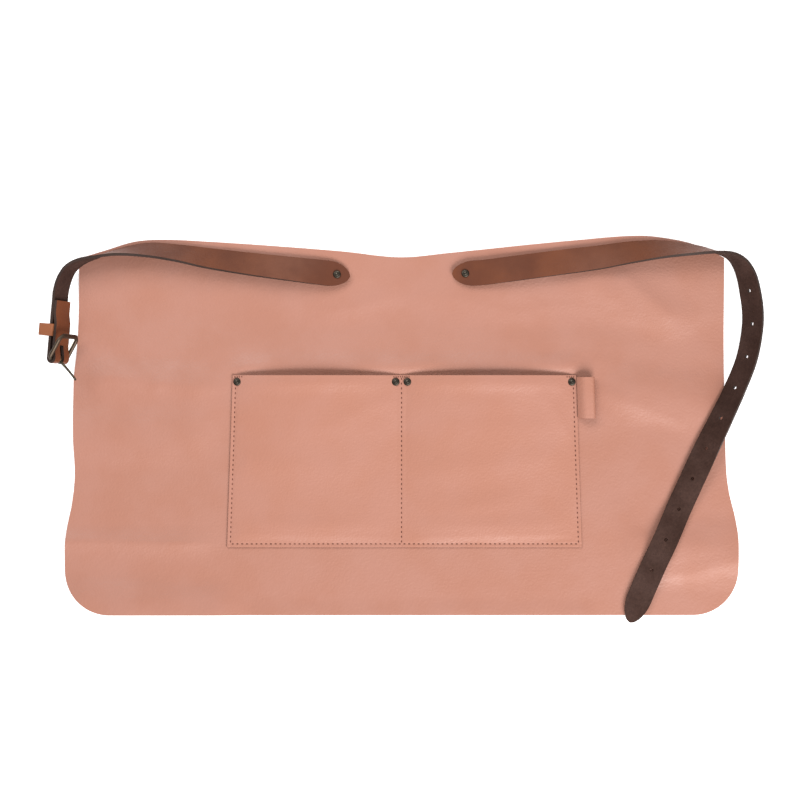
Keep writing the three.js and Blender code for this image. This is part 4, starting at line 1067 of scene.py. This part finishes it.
RIVET_FROM_SIDE, RIVET_FROM_DIVIDER = 5.2, 6.1
RIVET_PLACES = {
    "pocket_rivet_left": pocket_side(-1, RIVET_Y) + RIVET_FROM_SIDE,
    "pocket_rivet_middle_left": DIVIDER_X - RIVET_FROM_DIVIDER,
    "pocket_rivet_middle_right": DIVIDER_X + RIVET_FROM_DIVIDER,
    "pocket_rivet_right": pocket_side(1, RIVET_Y) - RIVET_FROM_SIDE,
}
for node, x in RIVET_PLACES.items():
    make_rivet(node, x, RIVET_Y, pocket_top(x, RIVET_Y))
for node, stations, spacing in (
    ("belt_rivet_left", buckle_stations, buckle_spacing),
    ("belt_rivet_right", punched_stations, punched_spacing),
):
    centre = between(stations, spacing, RIVET_FROM_TIP)[0]
    make_rivet(node, centre.x, centre.y, centre.z + STRAP_THICKNESS / 2)

# %% [markdown]
# ## The stitches
# The thread runs down both sides of the pocket, along its base and down the middle, five millimetres
# to a stitch, with short rows of tighter stitches at the mouth's ends. Each stitch is a small bead of
# thread pressed into its groove, and there are hundreds, so each has only a few dozen faces.

# %% One row of stitches between two places
STITCH_PITCH, THREAD_WIDTH, THREAD_HEIGHT, THREAD_RAISE = 4.94, 1.2, 0.8, 0.12
TACK_PITCH, TACK_SHARE, TACK_DROP, TACK_HALF, TACK_START, TACK_END = 2.4, 0.6, 0.4, 9, 1.5, 11
SEAM_FROM_MOUTH = 1.5
stitch_shape = bmesh.new()


def sew(x0, y0, x1, y1, pitch=STITCH_PITCH, share=0.5):
    count = round(math.hypot(x1 - x0, y1 - y0) / pitch)
    heading = math.atan2(y1 - y0, x1 - x0)
    for k in range(count):
        along = (k + 0.5) / count
        x, y = mix(x0, x1, along), mix(y0, y1, along)
        ahead = Vector((math.cos(heading), math.sin(heading), 0)) * pitch / 3
        behind_top, ahead_top = pocket_top(x - ahead.x, y - ahead.y), pocket_top(x + ahead.x, y + ahead.y)
        slope = (ahead_top - behind_top) / (2 * pitch / 3)
        turn = Matrix.Rotation(heading, 4, "Z") @ Matrix.Rotation(-math.atan(slope), 4, "Y")
        size = Matrix.Diagonal((pitch * share * MM, THREAD_WIDTH * MM, THREAD_HEIGHT * MM, 1))
        place = Matrix.Translation(at(x, y, pocket_top(x, y) + THREAD_RAISE)) @ turn @ size
        bmesh.ops.create_uvsphere(stitch_shape, u_segments=8, v_segments=5, radius=0.5, matrix=place)


# %% All the pocket's seams
base_y = POCKET_FOOT + STITCH_INSET
mouth_y = POCKET_TOP - SEAM_FROM_MOUTH
for sign in (-1, 1):
    top_x, foot_x = (pocket_side(sign, y) - sign * STITCH_INSET for y in (mouth_y, base_y))
    sew(top_x, mouth_y, foot_x, base_y)
sew(pocket_side(-1, base_y) + STITCH_INSET, base_y, pocket_side(1, base_y) - STITCH_INSET, base_y)
sew(DIVIDER_X, mouth_y, DIVIDER_X, base_y)
left_x, right_x, tack_y = pocket_side(-1, mouth_y), pocket_side(1, mouth_y), mouth_y - TACK_DROP
for from_x, to_x in (
    (DIVIDER_X - TACK_HALF, DIVIDER_X + TACK_HALF), (left_x + TACK_START, left_x + TACK_END),
    (right_x - TACK_END, right_x - TACK_START),
):
    sew(from_x, tack_y, to_x, tack_y, TACK_PITCH, TACK_SHARE)
stitches = finish_piece("stitches", stitch_shape, [THREAD])

# %% [markdown]
# ## What is soft
# Leather is a sheet that was cut flat. The straps are stiff belting of one thickness and are modelled directly.

# %% [markdown]
# ## Floor and light
# The apron was lit softly on white. A wide, low light stands beyond the hem on the right and shines over
# the leather, so folds that rise towards the waist are bright. A pale sky fills the shadows, and the paper
# under the apron glows a little, which is painted light that lifts the shadows on it to white. A small
# near light by the waist brightens the upper part of the leather, which shone most.

# %% White floor
floor_shape = bmesh.new()
bmesh.ops.create_grid(floor_shape, x_segments=1, y_segments=1, size=3)
bmesh.ops.translate(floor_shape, verts=floor_shape.verts[:], vec=(0, 0, -0.0004))
floor_mesh = bpy.data.meshes.new("floor")
floor_shape.to_mesh(floor_mesh)
floor_shape.free()
floor = add_object("floor", floor_mesh)
paper, surface = new_material("white_floor")
# The floor's emission is painted light that fills its own shadows.
for name, value in (
    ("Base Color", (0.93, 0.93, 0.93, 1)), ("Roughness", 0.9),
    ("Emission Color", (1, 1, 1, 1)), ("Emission Strength", 0.4),
):
    surface.inputs[name].default_value = value
floor_mesh.materials.append(paper)


# %% Soft lights
def soft_light(name, place, target, size, power):
    data = bpy.data.lights.new(name, "AREA")
    data.shape = "RECTANGLE"
    data.size, data.size_y = size
    data.energy = power
    lamp = add_object(name, data)
    lamp.location = place
    lamp.rotation_euler = (Vector(target) - Vector(place)).to_track_quat("-Z", "Y").to_euler()


soft_light("hem_light", (0.85, -1.55, 1.3), (0.3, -0.1, 0), (1.9, 1.1), 80)
soft_light("waist_light", (-0.38, 0.8, 0.9), (-0.14, 0.15, 0), (1.3, 0.6), 13)
world = bpy.data.worlds.new("pale_room")
world.use_nodes = True
world.node_tree.nodes["Background"].inputs["Color"].default_value = (1, 1, 1, 1)
world.node_tree.nodes["Background"].inputs["Strength"].default_value = 0.55
bpy.context.scene.world = world
bpy.context.scene.view_settings.view_transform = "Standard"
